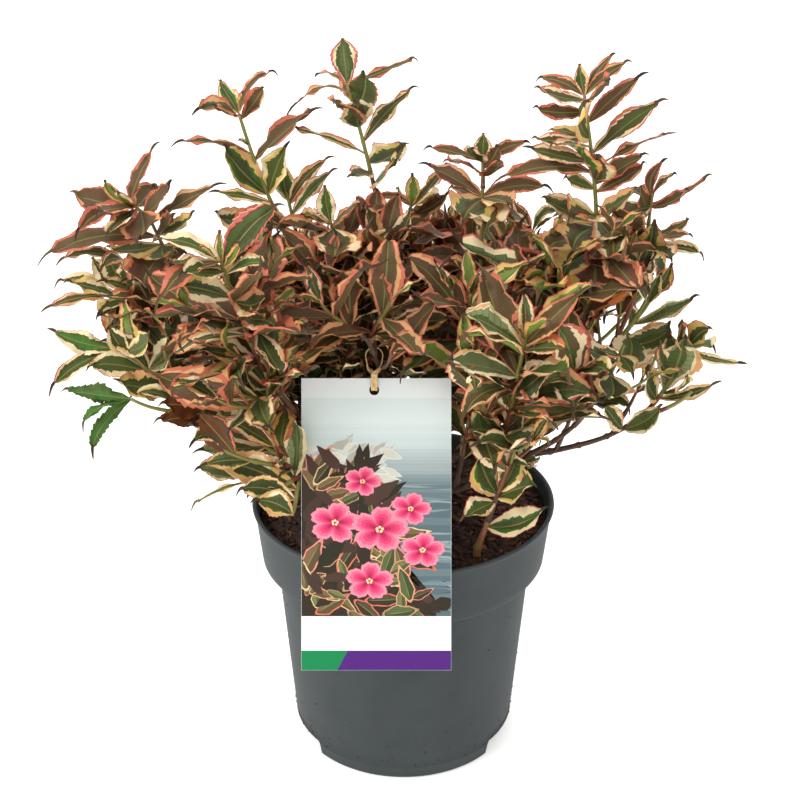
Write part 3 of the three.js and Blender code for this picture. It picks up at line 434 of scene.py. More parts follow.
class Bezier:
    """A cubic curve that can be read by its parameter or by its share of length."""

    def __init__(self, start, after, before, end):
        self.corners = np.array((start, after, before, end))
        self.steps = np.linspace(0, 1, CURVE_STEPS)
        gaps = np.linalg.norm(np.diff(self.point(self.steps), axis=0), axis=1)
        self.lengths = np.concatenate(([0.0], np.cumsum(gaps)))
        self.length = self.lengths[-1]

    def point(self, t):
        t = np.asarray(t, float)[..., None]
        a, b, c, d = self.corners
        return a * (1 - t) ** 3 + 3 * b * t * (1 - t) ** 2 + 3 * c * t * t * (1 - t) + d * t ** 3

    def tangent(self, t):
        t = np.asarray(t, float)[..., None]
        a, b, c, d = self.corners
        slope = (b - a) * (1 - t) ** 2 + 2 * (c - b) * t * (1 - t) + (d - c) * t * t
        return slope / np.linalg.norm(slope, axis=-1, keepdims=True)

    def at(self, share):
        return np.interp(share, self.lengths / self.length, self.steps)

    def stand(self, share):
        """The place and the direction at a share of the curve's length."""
        t = self.at(share)
        return self.point(t), self.tangent(t)

    def spread(self, count):
        """Places at even steps along the curve."""
        return self.point(self.at(np.linspace(0, 1, count)))


# --- growth

# How far leaves keep off the rim, the soil, the card, the strap and the boughs, and how far they may
# reach past the frame's box.
CLEAR = {
    "inside_rim": 0.008, "outside_rim": 0.002, "above": 0.0015, "card": 0.001, "behind_card": 0.0015,
    "beside_strap": 0.004, "behind_strap": 0.006, "over_hole": 0.018, "bough": 0.0032, "past_box": 0.006,
}
LEAF = {"width": 0.41, "widest": 0.42, "fold": 0.3, "level": 0.4}
LEAF_LENGTH = {"foot": 0.82, "gain": 0.42, "young": 0.6, "young_power": 8, "uneven": 0.1}
LEAF_ANGLE = {"foot": 66, "closing": 40, "uneven": 9}
LEAF_DROOP = {"foot": 44, "closing": 26, "uneven": 14, "level": 0.45, "rising": 0.8, "least": 0.35}
# Each try at fitting a leaf in: its share of the full length, and how many degrees it closes up.
FITTINGS = ((1, 0), (0.86, 9), (0.74, 18))
PROBES = [(along, across) for along in (0.2, 0.4, 0.6, 0.8, 1.0) for across in (-1, 0, 1)]
PROBED = {"bough": 24, "shoot": 80, "twig": 30, "bare_from": 50}
PAIRS = {"first": 0.6, "rest": 0.4, "crowding": 0.92, "last": 0.985, "turn": 40, "uneven": 12}
TWIG = {
    "angle": 48, "uneven_angle": 12, "uneven_reach": 0.3, "look_up": 0.25, "bare": 0.2, "fewest_leaves": 2,
    "pairs": 2, "bare_nodes": 3, "chance": -0.35, "low_reach": 1.15, "high_reach": 0.6,
}
INNER = {"places": (0.5, 0.66, 0.8, 0.93), "turn": 137.5, "reach": 1.3, "pairs": 3}
SHOWN = {"arch": 0.06, "uneven": 14, "fuller": 1.38, "along": 0.3, "up": 0.5, "front": 0.8}
BARE_BOUGHS = ("sprout", "right_low", "left_foot")
# Where the keys of each kind of growth begin.
KEYS = {"shoot": 10, "node": 20, "side": 9, "twig": 40, "inner": 80, "shown": 200}
# Each kind of stem: its radius at the foot and at the tip, and how far up it is brown.
STEM_KINDS = {
    "shoot": (STEM["root"], STEM["tip"], 0.25),
    "twig": (STEM["tip"] * 1.3, STEM["tip"] * 0.7, 0.1),
    "shown": (STEM["tip"] * 1.5, STEM["tip"], 0.1),
    "inner": (STEM["tip"] * 1.6, STEM["tip"] * 0.8, 0.6),
}


@dataclass
class Limb:
    name: str
    fork: np.ndarray
    tips: list
    leaf: float
    root: np.ndarray = None
    root_direction: np.ndarray = None
    fork_direction: np.ndarray = None
    bough: Bezier = None
    shoots: list = None


@dataclass
class Leaf:
    root: np.ndarray
    direction: np.ndarray
    upper: np.ndarray
    side: np.ndarray
    length: float
    droop: float
    along: float
    keys: tuple
    middle: np.ndarray = None
    tip: np.ndarray = None
    sort: str = None
    width: float = None


def limb_from(name, fork, tips, leaf):
    return Limb(name, np.array(fork) * MM, [np.array(tip) * MM for tip in tips], leaf * MM)


def back_limbs():
    """The limbs at the back, in an even fan with slightly uneven reaches."""
    fan = BACK_FAN
    step = (fan["last"] - fan["first"]) / (fan["count"] - 1)
    for index in range(fan["count"]):
        heading = fan["first"] + step * index
        uneven = fan["uneven"] * jitter(index, 5)
        tips = []
        for side in (-1, 1):
            reach = fan["tip_reach"] + uneven if side > 0 else fan["inner_reach"] - uneven
            height = fan["tip_height"] if side > 0 else fan["inner_height"]
            height += fan["uneven"] * jitter(index, side + 7)
            tips.append(polar(heading + side * fan["tip_spread"] / 2, reach, height))
        fork = polar(heading, fan["fork_reach"] + uneven, fan["fork_height"] - uneven)
        yield limb_from(f"back_{index + 1}", fork, tips, fan["leaf"])


def trunk_radius(height):
    step = (height - TRUNK_FOOT) / (TRUNK["top"] - TRUNK_FOOT) * (len(TRUNK["radii"]) - 1)
    return float(np.interp(step, range(len(TRUNK["radii"])), TRUNK["radii"]))


def trunk_lean(height):
    return TRUNK["lean_back"] * (height - TRUNK_FOOT) / (TRUNK["top"] - TRUNK_FOOT)


def place_roots(limbs):
    """Deals the limbs out to rings up the trunk by how steeply they rise."""
    def heading_of(limb):
        return math.degrees(math.atan2(limb.fork[1], limb.fork[0]))

    def steepness(limb):
        return (limb.fork[2] - TRUNK["top"]) / math.hypot(limb.fork[0], limb.fork[1])

    waiting = sorted(limbs, key=steepness)
    for ring in ROOT_RINGS:
        height, lift = ring["height"], math.radians(ring["rise"])
        on_top = height >= TRUNK["top"]
        count = len(waiting) if on_top else round(ring["share"] * len(limbs))
        members, waiting = sorted(waiting[:count], key=heading_of), waiting[count:]
        step = 360 / len(members)
        first = sum(heading_of(limb) - step * index for index, limb in enumerate(members)) / len(members)
        reach = TRUNK["radii"][-1] - BOUGH["root"]
        if not on_top:
            upper_edge = height + BOUGH["root"] * math.cos(lift)
            reach = trunk_radius(upper_edge) + GAP + BOUGH["root"] * math.sin(lift)
        for index, limb in enumerate(members):
            limb.root = polar(first + step * index, reach, height + (GAP if on_top else 0))
            limb.root[1] += trunk_lean(height)
            limb.root_direction = polar(first + step * index, math.cos(lift), math.sin(lift))


def shoot_curve(start, direction, tip, bow=0.0):
    """A stem that leaves its start in a direction and turns up towards its tip."""
    reach = np.linalg.norm(tip - start)
    tip_direction = unit(unit(tip - start) + UP * STEM["look_up"])
    bend = reach * STEM["bend"]
    return Bezier(start, start + direction * bend + bow, tip - tip_direction * bend + bow, tip)


def shape_limb(limb):
    """Draws a limb's bough, its first shoot, and the side shoots that leave the first."""
    reach = np.linalg.norm(limb.fork - limb.root)
    onward = unit(np.mean(limb.tips, axis=0) - limb.fork)
    limb.fork_direction = unit(unit(limb.fork - limb.root) + onward)
    after = limb.root + limb.root_direction * reach * BOUGH["bend"]
    before = limb.fork - limb.fork_direction * reach * BOUGH["bend"]
    limb.bough = Bezier(limb.root, after, before, limb.fork)
    bow = np.array(SHOOT_BOWS.get(limb.name, (0, 0, 0))) * MM
    main = shoot_curve(limb.fork + limb.fork_direction * GAP, limb.fork_direction, limb.tips[0], bow)
    limb.shoots = [main]
    for tip in limb.tips[1:]:
        start = main.point(STEM["side_start"])
        direction = unit(unit(tip - start) + limb.fork_direction)
        limb.shoots.append(shoot_curve(start, direction, tip))


@functools.cache
def all_limbs():
    """Every limb in its shape: those shown, those at the back and the sprout."""
    limbs = [limb_from(*row) for row in SHOWN_LIMBS] + list(back_limbs())
    place_roots(limbs)
    sprout = limb_from(*SPROUT)
    foot = np.array((*SPROUT_ROOT, 0.0))
    foot[2] = soil_top(math.hypot(*SPROUT_ROOT) - BOUGH["root"]) + GAP
    sprout.root, sprout.root_direction = foot, UP
    limbs.append(sprout)
    for limb in limbs:
        shape_limb(limb)
    return limbs


def limb_named(name):
    return next(limb for limb in all_limbs() if limb.name == name)


def is_taken(places):
    """Whether each place lies in the pot, its rim, the soil, or the label's and strap's space."""
    radius = np.hypot(places[:, 0], places[:, 1])
    height = places[:, 2]
    inner, outer = RIM_RADIUS - CLEAR["inside_rim"], RIM_RADIUS + CLEAR["outside_rim"]
    near_rim = (radius > inner) & (radius < outer) & (height < RIM_HEIGHT + CLEAR["above"])
    in_soil = (radius <= inner) & (height < soil_top(radius) + CLEAR["above"])
    in_pot = (radius <= outer) & (height < SOIL["edge"])
    from_card, from_hole = places - CARD_TOP, places - HOLE
    by_card = np.abs(from_card[:, 0]) < CARD["width"] / 2 + CLEAR["card"]
    by_card &= (from_card @ CARD_UP < CLEAR["card"]) & (from_card @ CARD_FRONT > -CLEAR["behind_card"])
    by_strap = np.abs(places[:, 0] - STRAP_SIDE) < CLEAR["beside_strap"]
    by_strap &= (from_hole @ CARD_FRONT > -CLEAR["behind_strap"]) & (from_hole @ CARD_UP < CLEAR["over_hole"])
    return near_rim | in_soil | in_pot | by_card | by_strap


def make_leaf(root, tangent, outward, length, angle, droop, along, keys):
    """A leaf that leaves its stem at an angle, brought nearer to level if it would hang."""
    direction = tangent * math.cos(angle) + outward * math.sin(angle)
    if direction[2] < 0:
        direction[2] *= LEAF["level"]
        direction = unit(direction)
    upper = tangent + UP
    upper = unit(upper - direction * (upper @ direction))
    slack = LEAF_DROOP["level"] + LEAF_DROOP["rising"] * direction[2]
    droop = droop * np.clip(slack, LEAF_DROOP["least"], 1)
    return Leaf(root, direction, upper, np.cross(direction, upper), length, droop, along, keys)


def leaf_places(leaf):
    """Probe places over a leaf, as an arc from its root, folded along the midrib."""
    along, across = np.array(PROBES).T
    turn = leaf.droop * along
    centre = leaf.root + np.outer(leaf.length * np.sin(turn) / leaf.droop, leaf.direction)
    centre -= np.outer(leaf.length * (1 - np.cos(turn)) / leaf.droop, leaf.upper)
    widest = LEAF["widest"]
    share = np.where(along < widest, along / widest, (1 - along) / (1 - widest))
    offset = across * share * leaf.length * LEAF["width"] / 2
    return centre + np.outer(offset, leaf.side) + np.outer(np.abs(offset) * LEAF["fold"], leaf.upper)


@functools.cache
def bough_places():
    return np.concatenate([limb.bough.spread(PROBED["bough"]) for limb in all_limbs()])


def fits(leaf):
    """Whether a leaf stays clear of everything, in the frame's box and in the crown's outline."""
    places = leaf_places(leaf)
    low, high = (np.array(corner) for corner in CAD_BOX)
    if is_taken(places).any():
        return False
    if (places < low - CLEAR["past_box"]).any() or (places > high + CLEAR["past_box"]).any():
        return False
    if not within(in_view(places)[0], CROWN_OUTLINE).all():
        return False
    gaps = np.linalg.norm(places[:, None, :] - bough_places()[None], axis=2)
    return gaps.min() > CLEAR["bough"]


def grow_leaf(root, tangent, outward, along, full_length, keys):
    """The first of a leaf's fittings that finds room, or None."""
    size, opening, bending = LEAF_LENGTH, LEAF_ANGLE, LEAF_DROOP
    shape = (size["foot"] + size["gain"] * along) * (1 - size["young"] * along ** size["young_power"])
    length = full_length * shape * (1 + size["uneven"] * jitter(*keys, 1))
    angle = opening["foot"] - opening["closing"] * along ** 2 + opening["uneven"] * jitter(*keys, 2)
    droop = bending["foot"] - bending["closing"] * along + bending["uneven"] * jitter(*keys, 3)
    for scale, closer in FITTINGS:
        lean = math.radians(angle - closer)
        leaf = make_leaf(root, tangent, outward, length * scale, lean, math.radians(droop), along, keys)
        if fits(leaf):
            return leaf
    return None


def grow_pairs(curve, count, full_length, keys, foot=0.0):
    """Opposite leaves in pairs, each pair turned a quarter from the last."""
    tip = curve.point(1.0)
    across = unit(np.array((-tip[1], tip[0], 0.0)))
    for node in range(count):
        share = ((node + PAIRS["first"]) / (count - PAIRS["rest"])) ** PAIRS["crowding"]
        along = foot + (1 - foot) * share
        point, tangent = curve.stand(min(along, PAIRS["last"]))
        first = unit(across - tangent * (across @ tangent))
        second = np.cross(tangent, first)
        uneven = PAIRS["turn"] * jitter(*keys) + PAIRS["uneven"] * jitter(*keys, node)
        quarter = math.pi / 2 * node + math.radians(uneven)
        for side in (0, math.pi):
            outward = first * math.cos(quarter + side) + second * math.sin(quarter + side)
            outward[2] *= lerp(LEAF["level"], 1, abs(tangent[2]))
            outward = unit(outward)
            leaf_keys = (keys[0] * KEYS["shoot"] + keys[1], node, side)
            leaf = grow_leaf(point, tangent, outward, along, full_length, leaf_keys)
            yield node, point, tangent, outward, leaf


def grow_twig(point, tangent, outward, reach, keys, leaf_length, pairs):
    """A twig off a stem, and those of its leaves that find room."""
    angle = math.radians(TWIG["angle"] + TWIG["uneven_angle"] * jitter(*keys, 5))
    direction = tangent * math.cos(angle) + outward * math.sin(angle)
    reach *= 1 + TWIG["uneven_reach"] * jitter(*keys, 4)
    tip = point + unit(direction + UP * TWIG["look_up"]) * reach
    curve = shoot_curve(point, unit(direction), tip)
    leaves = [found[4] for found in grow_pairs(curve, pairs, leaf_length, keys, TWIG["bare"]) if found[4]]
    return curve, leaves


@functools.cache
def whole_growth(node_spacing, twig_length, twig_leaf):
    """Every twig of the plant with its kind, and every leaf, as two lists."""
    twigs, leaves = [], []

    def keep(kind, twig, found):
        if len(found) >= TWIG["fewest_leaves"]:
            twigs.append((twig, kind))
            leaves.extend(found)

    for limb_index, limb in enumerate(all_limbs()):
        leaf_length = limb.leaf * twig_leaf
        for shoot_index, curve in enumerate(limb.shoots):
            twigs.append((curve, "shoot"))
            count = max(3, round(curve.length / node_spacing) + 1)
            pairs = grow_pairs(curve, count, limb.leaf, (limb_index, shoot_index))
            for node, point, tangent, outward, leaf in pairs:
                if leaf:
                    leaves.append(leaf)
                keys = (limb_index + KEYS["twig"], shoot_index * KEYS["node"] + node)
                chance = jitter(*keys, round(outward[0] * KEYS["side"]))
                if 0 < node < count - TWIG["bare_nodes"] and chance > TWIG["chance"]:
                    reach = twig_length * lerp(TWIG["low_reach"], TWIG["high_reach"], node / count)
                    keep("twig", *grow_twig(point, tangent, outward, reach, keys, leaf_length, TWIG["pairs"]))
        for found in grow_inner(limb, limb_index, twig_length * INNER["reach"], leaf_length):
            keep("inner", *found)
    twigs.extend((curve, "shown") for curves in shown_twigs().values() for curve in curves)
    leaves.extend(shown_leaves())
    return twigs, leaves


def grow_inner(limb, limb_index, reach, leaf_length):
    """Leafy twigs on the outer half of a bough."""
    for index, share in enumerate(() if limb.name == "sprout" else INNER["places"]):
        point, tangent = limb.bough.stand(share)
        turn = math.radians(INNER["turn"] * index + 180 * jitter(limb_index, 30))
        first = unit(np.cross(tangent, UP + RIGHT * 0.01))
        outward = first * math.cos(turn) + np.cross(tangent, first) * math.sin(turn)
        keys = (limb_index + KEYS["inner"], index)
        yield grow_twig(point, tangent, outward, reach, keys, leaf_length, INNER["pairs"])


@functools.cache
def shown_twigs():
    twigs = {}
    for (name, shoot), rows in SHOWN_TWIGS.items():
        twigs[name, shoot] = []
        for share, x, y, forward in rows:
            start, tangent = limb_named(name).shoots[shoot].stand(share)
            tip = from_view(x, y, in_view(start)[1] - forward * MM)
            direction = unit(tangent + unit(tip - start))
            twigs[name, shoot].append(shoot_curve(start, direction, tip))
    return twigs


def shown_leaves():
    for number, ((name, shoot), rows) in enumerate(SHOWN_LEAVES.items()):
        limb = limb_named(name)
        parts = [limb.shoots[shoot].spread(PROBED["shoot"])]
        if shoot == 0 and name in BARE_BOUGHS:
            parts.insert(0, limb.bough.spread(PROBED["shoot"])[PROBED["bare_from"]:])
        parts.extend(twig.spread(PROBED["twig"]) for twig in shown_twigs().get((name, shoot), ()))
        line = np.concatenate(parts)
        for index, row in enumerate(rows):
            yield shown_leaf(line, (number + KEYS["shown"], index, 0), *row)


def shown_leaf(line, keys, foot_x, foot_y, middle_x, middle_y, tip_x, tip_y, forward, width, sort, roll=0):
    """A leaf from the nearest place on a line of stems, drawn through its middle to its tip."""
    seen, ahead = in_view(line)
    nearest = np.argmin(np.hypot(*(seen - (foot_x, foot_y)).T))
    root = line[nearest]
    tip = from_view(tip_x, tip_y, ahead[nearest] - forward * MM)
    reach = float(np.linalg.norm(tip - root))
    middle_ahead = ahead[nearest] - forward * MM / 2 - SHOWN["arch"] * reach
    middle = from_view(middle_x, middle_y, middle_ahead)
    direction = unit(tip - root)
    tangent = unit(line[min(nearest + 1, len(line) - 1)] - line[max(nearest - 1, 0)])
    upper = unit(tangent * SHOWN["along"] + UP * SHOWN["up"] + CARD_FRONT * SHOWN["front"])
    upper = unit(upper - direction * (upper @ direction))
    turn = math.radians(roll + SHOWN["uneven"] * jitter(*keys, 6))
    side, upper = turned(np.cross(direction, upper), upper, math.cos(turn), math.sin(turn))
    width = width * SHOWN["fuller"]
    return Leaf(root, direction, upper, side, reach, 0.0, 0.5, keys, middle, tip, sort, width)


# --- settings

def linear(colour):
    parts = [int(colour[place:place + 2], 16) / 255 for place in (1, 3, 5)]
    return [part / 12.92 if part < 0.04 else ((part + 0.055) / 1.055) ** 2.4 for part in parts] + [1.0]


def span(name, description, default):
    return bpy.props.FloatProperty(
        name=name, description=description, default=default, min=0.0, precision=5,
        unit="LENGTH", subtype="DISTANCE",
    )


def ratio(name, description, default):
    return bpy.props.FloatProperty(name=name, description=description, default=default, min=0.0, max=4.0)


def tint(name, description, default):
    return bpy.props.FloatVectorProperty(
        name=name, description=description, default=linear(default), size=4, min=0.0, max=1.0,
        subtype="COLOR",
    )


class WEIGELA_PG_growth(bpy.types.PropertyGroup):
    """How the shoots branch and bear leaves"""

    node_spacing: span("Node spacing", "Way from one pair of leaves to the next", 0.0165)
    twig_length: span("Twig length", "Length of the side twigs on a shoot", 0.034)
    twig_leaf: ratio("Twig leaf", "Length of a twig's leaves as a share of the shoot's", 0.78)
    leaf_width: ratio("Leaf width", "Width of a leaf as a share of its length", 0.35)
    stem_girth: ratio("Stem girth", "Thickness of shoots and twigs against the frame's", 1.2)


class WEIGELA_PG_leaf_tones(bpy.types.PropertyGroup):
    """The colours dealt out over the leaves"""

    rib: tint("Midrib", "Midrib of every leaf", "#7c7a42")
    deep_green: tint("Deep green", "Darkest green of the leaves' middles", "#434b28")
    green: tint("Green", "Plain green of the leaves' middles", "#4c5a2a")
    grey_green: tint("Grey green", "Dull green of the lower leaves", "#5d6841")
    pale_green: tint("Pale green", "Faded green of the lowest leaves", "#848d60")
    leaf_green: tint("Leaf green", "Green of the all green leaves", "#42702c")
    vein_green: tint("Vein green", "Side veins of the all green leaves", "#4b7834")
    young: tint("Young green", "Youngest leaves at the tips", "#72883a")
    moss: tint("Moss", "Side veins of green leaves", "#50562b")
    umber: tint("Umber", "Side veins of bronzed leaves", "#604b31")
    olive: tint("Olive", "Sunned green of the leaves' middles", "#5c4b2c")
    bronze: tint("Bronze", "Sunned brown of the leaves' middles", "#664e34")
    plum: tint("Plum", "Reddened middles of the top leaves", "#643f2f")
    cream: tint("Cream", "Palest margins", "#ecd8ac")
    yellow: tint("Yellow", "Yellow margins", "#d8b966")
    peach: tint("Peach", "Blushed margins", "#daa570")
    coral: tint("Coral", "Red margins and edges", "#c87052")
    pink: tint("Pink", "Pink edges", "#cc6a61")
    orange: tint("Orange", "Margins of the burnt leaf", "#e8924a")
    brown: tint("Brown", "Dead leaves", "#6e3a1c")
    dark: tint("Dark", "Dried tips", "#4d3a2c")


class WEIGELA_PG_bark(bpy.types.PropertyGroup):
    """Trunk, boughs and stems"""

    relief: ratio("Relief", "Depth of the bark's ridges as a share of the radius", 0.06)
    bark: tint("Bark", "Old bark", "#3f2a20")
    bark_worn: tint("Worn bark", "Paler patches of the bark", "#644a3b")
    stem: tint("Stem", "Bark of the young upright stem", "#7d6a35")
    stem_red: tint("Stem blush", "Reddened patches of the young stem", "#8a4a34")
    shoot_tip: tint("Shoot tip", "Green upper part of shoots and twigs", "#7f7d3c")
    shoot_middle: tint("Shoot middle", "Red middle part of shoots and twigs", "#7a4630")
    shoot_foot: tint("Shoot foot", "Brown lower part of shoots and twigs", "#553a2b")


class WEIGELA_PG_pot(bpy.types.PropertyGroup):
    """The pot and its soil"""

    wall: span("Wall", "Thickness of the pot's wall", WALL)
    plastic: tint("Plastic", "The pot's grey", "#303637")
    plastic_worn: tint("Worn plastic", "Paler patches of the pot", "#363c3d")
    soil: tint("Soil", "Damp soil", "#38241b")
    soil_dry: tint("Dry soil", "Paler crumbs of soil", "#462e24")
    bark_chip: tint("Bark chip", "Orange brown chips of bark", "#74442c")


class WEIGELA_PG_label(bpy.types.PropertyGroup):
    """The hanging label and its strap"""

    card: tint("Card", "The bare card", "#eef4f4")
    sky: tint("Sky", "Top of the printed picture", "#dfecea")
    water: tint("Water", "Foot of the printed picture", "#576a6f")
    petal: tint("Petal", "Printed petals", "#dd4070")
    throat: tint("Throat", "Printed flower throats", "#94143a")
    left_strip: tint("Left strip", "Left end of the lowest band", "#12804a")
    right_strip: tint("Right strip", "Right end of the lowest band", "#4f1f74")
    strap: tint("Strap", "The strap that holds the label", "#f0d096")


class WEIGELA_PG_stage(bpy.types.PropertyGroup):
    """Floor, light and camera"""

    floor: tint("Floor", "The pale floor", "#f4f4f2")
    floor_size: span("Floor size", "Half the width of the floor", 6.0)
    sky_left: ratio("Light from the left", "Strength of the even light on the left", 1.16)
    sky_right: ratio("Light from the right", "Strength of the even light on the right", 0.84)
    key_power: bpy.props.FloatProperty(
        name="Key light", description="Power of the main lamp", default=26.0, min=0.0, unit="POWER",
    )


# --- meshes

TUBE_END = 0.02


def new_object(name, vertices, faces, slots, materials, smooth_faces=True):
    """An object from vertex places, faces of one size, and each face's material."""
    mesh = bpy.data.meshes.new(name)
    count, corners = faces.shape
    mesh.vertices.add(len(vertices))
    mesh.vertices.foreach_set("co", np.asarray(vertices, np.float32).ravel())
    mesh.loops.add(count * corners)
    mesh.loops.foreach_set("vertex_index", faces.ravel().astype(np.int32))
    mesh.polygons.add(count)
    mesh.polygons.foreach_set("loop_start", np.arange(0, count * corners, corners, dtype=np.int32))
    mesh.polygons.foreach_set("material_index", np.asarray(slots, np.int32))
    mesh.polygons.foreach_set("use_smooth", np.full(count, smooth_faces))
    mesh.update(calc_edges=True)
    mesh.validate()
    for material in materials:
        mesh.materials.append(material)
    made = bpy.data.objects.new(name, mesh)
    bpy.context.scene.collection.objects.link(made)
    return made


def plain_object(name, vertices, faces, material, smooth_faces=True):
    return new_object(name, vertices, faces, np.zeros(len(faces)), [material], smooth_faces)


def grid_faces(rows, columns, closed=False):
    """Quads over a grid of rows and columns of vertices, closed across the columns if asked."""
    across = columns if closed else columns - 1
    row, column = np.meshgrid(np.arange(rows - 1), np.arange(across), indexing="ij")
    after = (column + 1) % columns
    upper, lower = (row + 1) * columns, row * columns
    return np.stack((lower + column, lower + after, upper + after, upper + column), axis=-1).reshape(-1, 4)


def even_angles(count):
    return np.arange(count) * 2 * math.pi / count


def tube(points, radii, swell):
    """Rings round a line of points, with their faces; both ends are drawn in to close them."""
    sides = swell.shape[1]
    tangents = np.gradient(points, axis=0)
    tangents /= np.linalg.norm(tangents, axis=1, keepdims=True)
    normal = unit(np.cross(tangents[0], UP + RIGHT * 0.37))
    angles = even_angles(sides)
    rings = []
    for point, tangent, reach in zip(points, tangents, radii[:, None] * swell):
        normal = unit(normal - tangent * (normal @ tangent))
        other = np.cross(tangent, normal)
        ring = point + np.outer(np.cos(angles) * reach, normal)
        rings.append(ring + np.outer(np.sin(angles) * reach, other))
    first = points[0] + (rings[0] - points[0]) * TUBE_END
    last = points[-1] + (rings[-1] - points[-1]) * TUBE_END
    rings = [first] + rings + [last]
    return np.concatenate(rings), grid_faces(len(rings), sides, closed=True)


class Pile:
    """Gathers parts of one kind, to be joined into one piece."""

    def __init__(self):
        self.vertices, self.faces, self.slots, self.count = [], [], [], 0

    def add(self, vertices, faces, slots):
        self.vertices.append(vertices)
        self.faces.append(faces + self.count)
        self.slots.append(slots)
        self.count += len(vertices)

    def piece(self, name, materials):
        joined = (np.concatenate(parts) for parts in (self.vertices, self.faces, self.slots))
        return new_object(name, *joined, materials)


def finish_piece(piece, slot, *nodes):
    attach(piece, "root")
    if nodes:
        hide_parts(*nodes)


# --- materials

@dataclass(frozen=True)
class Finish:
    """How a surface takes the light, whatever its colours are."""

    rough: tuple
    grain: float
    relief: float = 0.3
    depth: float = 0.2 * MM
    patches: float = 0.02
    shine: float = 0.5


FINISHES = {
    "leaf": Finish((0.5, 0.7), 1.1 * MM, 0.35, 0.25 * MM, shine=0.25),
    "bark": Finish((0.65, 0.9), 0.9 * MM, 0.6, 0.4 * MM, 3 * MM),
    "young_bark": Finish((0.5, 0.7), 1.2 * MM, 0.3, 0.2 * MM, 9 * MM),
    "shoot_green": Finish((0.4, 0.6), 1.5 * MM, 0.2),
    "shoot_red": Finish((0.45, 0.65), 1.2 * MM),
    "shoot_brown": Finish((0.6, 0.8), 1.0 * MM, 0.4),
    "pot": Finish((0.5, 0.7), 0.7 * MM, 0.15, 0.15 * MM, 24 * MM, 0.3),
    "soil": Finish((0.85, 1.0), 1.2 * MM, 1.0, 1.2 * MM, 4 * MM),
    "chip": Finish((0.8, 1.0), 0.8 * MM, 0.6),
    "card": Finish((0.3, 0.45), 0.6 * MM, 0.05, 0.02 * MM, shine=0.3),
    "ink": Finish((0.4, 0.55), 0.5 * MM, 0.04, 0.02 * MM, shine=0.2),
    "strap": Finish((0.55, 0.75), 0.5 * MM, 0.4, 0.1 * MM, 2 * MM),
    "floor": Finish((0.8, 0.95), 0.05, 0.02),
}
GRAIN_DETAIL = 5
PATCH_DETAIL = 8
PATCH_EDGES = (0.32, 0.68)


def add_node(nodes, kind, **inputs):
    """A shader node, with inputs named by their words joined by underscores."""
    made = nodes.new("ShaderNode" + kind)
    for words, value in inputs.items():
        made.inputs[words.replace("_", " ")].default_value = value
    return made


def surface(name, finish, colour, patch_colour=None):
    """A node material: grainy roughness and relief over one colour, or over patches of two."""
    finish = FINISHES[finish]
    made = bpy.data.materials.new(name)
    made.use_nodes = True
    nodes, links = made.node_tree.nodes, made.node_tree.links
    shader = nodes["Principled BSDF"]
    shader.inputs["Base Color"].default_value = colour
    shader.inputs["Specular IOR Level"].default_value = finish.shine
    place = add_node(nodes, "TexCoord")
    grains = add_node(nodes, "TexNoise", Scale=1 / finish.grain, Detail=GRAIN_DETAIL)
    links.new(place.outputs["Object"], grains.inputs["Vector"])
    gloss = add_node(nodes, "MapRange", To_Min=finish.rough[0], To_Max=finish.rough[1])
    links.new(grains.outputs["Fac"], gloss.inputs["Value"])
    links.new(gloss.outputs["Result"], shader.inputs["Roughness"])
    bump = add_node(nodes, "Bump", Strength=finish.relief, Distance=finish.depth)
    links.new(grains.outputs["Fac"], bump.inputs["Height"])
    links.new(bump.outputs["Normal"], shader.inputs["Normal"])
    if patch_colour:
        patches = add_node(nodes, "TexNoise", Scale=1 / finish.patches, Detail=PATCH_DETAIL)
        links.new(place.outputs["Object"], patches.inputs["Vector"])
        ramp = add_node(nodes, "ValToRGB")
        low, high = ramp.color_ramp.elements
        low.position, high.position = PATCH_EDGES
        low.color, high.color = colour, patch_colour
        links.new(patches.outputs["Fac"], ramp.inputs["Fac"])
        links.new(ramp.outputs["Color"], shader.inputs["Base Color"])
    return made


# --- leaves

TONES = tuple(WEIGELA_PG_leaf_tones.__annotations__)
TONE_INDEX = {tone: index for index, tone in enumerate(TONES)}
PIECE_TRIANGLES = 190000

# For each sort of leaf: the tones that its two centre zones, its two margin zones and its edge are
# picked from, and the tone of its side veins.
SORTS = {
    "shade":
        "deep_green green deep_green, green grey_green deep_green, cream cream yellow, cream peach cream, "
        "cream peach pink, moss",
    "half":
        "deep_green olive green, olive grey_green bronze, cream peach yellow, peach cream coral, "
        "pink coral, moss",
    "sun":
        "olive bronze bronze, bronze plum olive, peach bronze coral, coral peach coral, coral pink, "
        "umber",
    "rosy": "deep_green grey_green, grey_green green, cream peach, pink peach, pink coral, moss",
    "crimped": "deep_green olive, olive green, olive plum, coral pink, peach coral, moss",
    "gold": "green deep_green moss, moss green, yellow cream, yellow peach, peach coral, moss",
    "pale": "green grey_green, grey_green moss, cream yellow, cream, cream peach, green",
    "grey": "grey_green green, pale_green grey_green, cream, cream peach, cream peach, grey_green",
    "green": "green deep_green, green leaf_green, cream yellow, cream peach, pink peach, moss",
    "vivid": "leaf_green, green leaf_green, cream, cream, peach cream, vein_green",
    "plain": "leaf_green, green leaf_green, leaf_green, green, vein_green, vein_green",
    "brown": "brown, brown olive, brown plum, brown coral, brown, plum",
    "burnt": "bronze, bronze plum, orange yellow, orange coral, coral, umber",
    "young": "young young green, young olive, yellow cream, peach yellow, coral pink, young",
}
MARGIN_SHARE = {
    "gold": 0.54, "pale": 0.52, "grey": 0.34, "crimped": 0.24, "plain": 0.2, "burnt": 0.4, "sun": 0.34,
    "shade": 0.41, "other": 0.42,
}
TEETH = {"plain": 0.11, "crimped": 0.06, "other": 0.035, "uneven": 0.04}
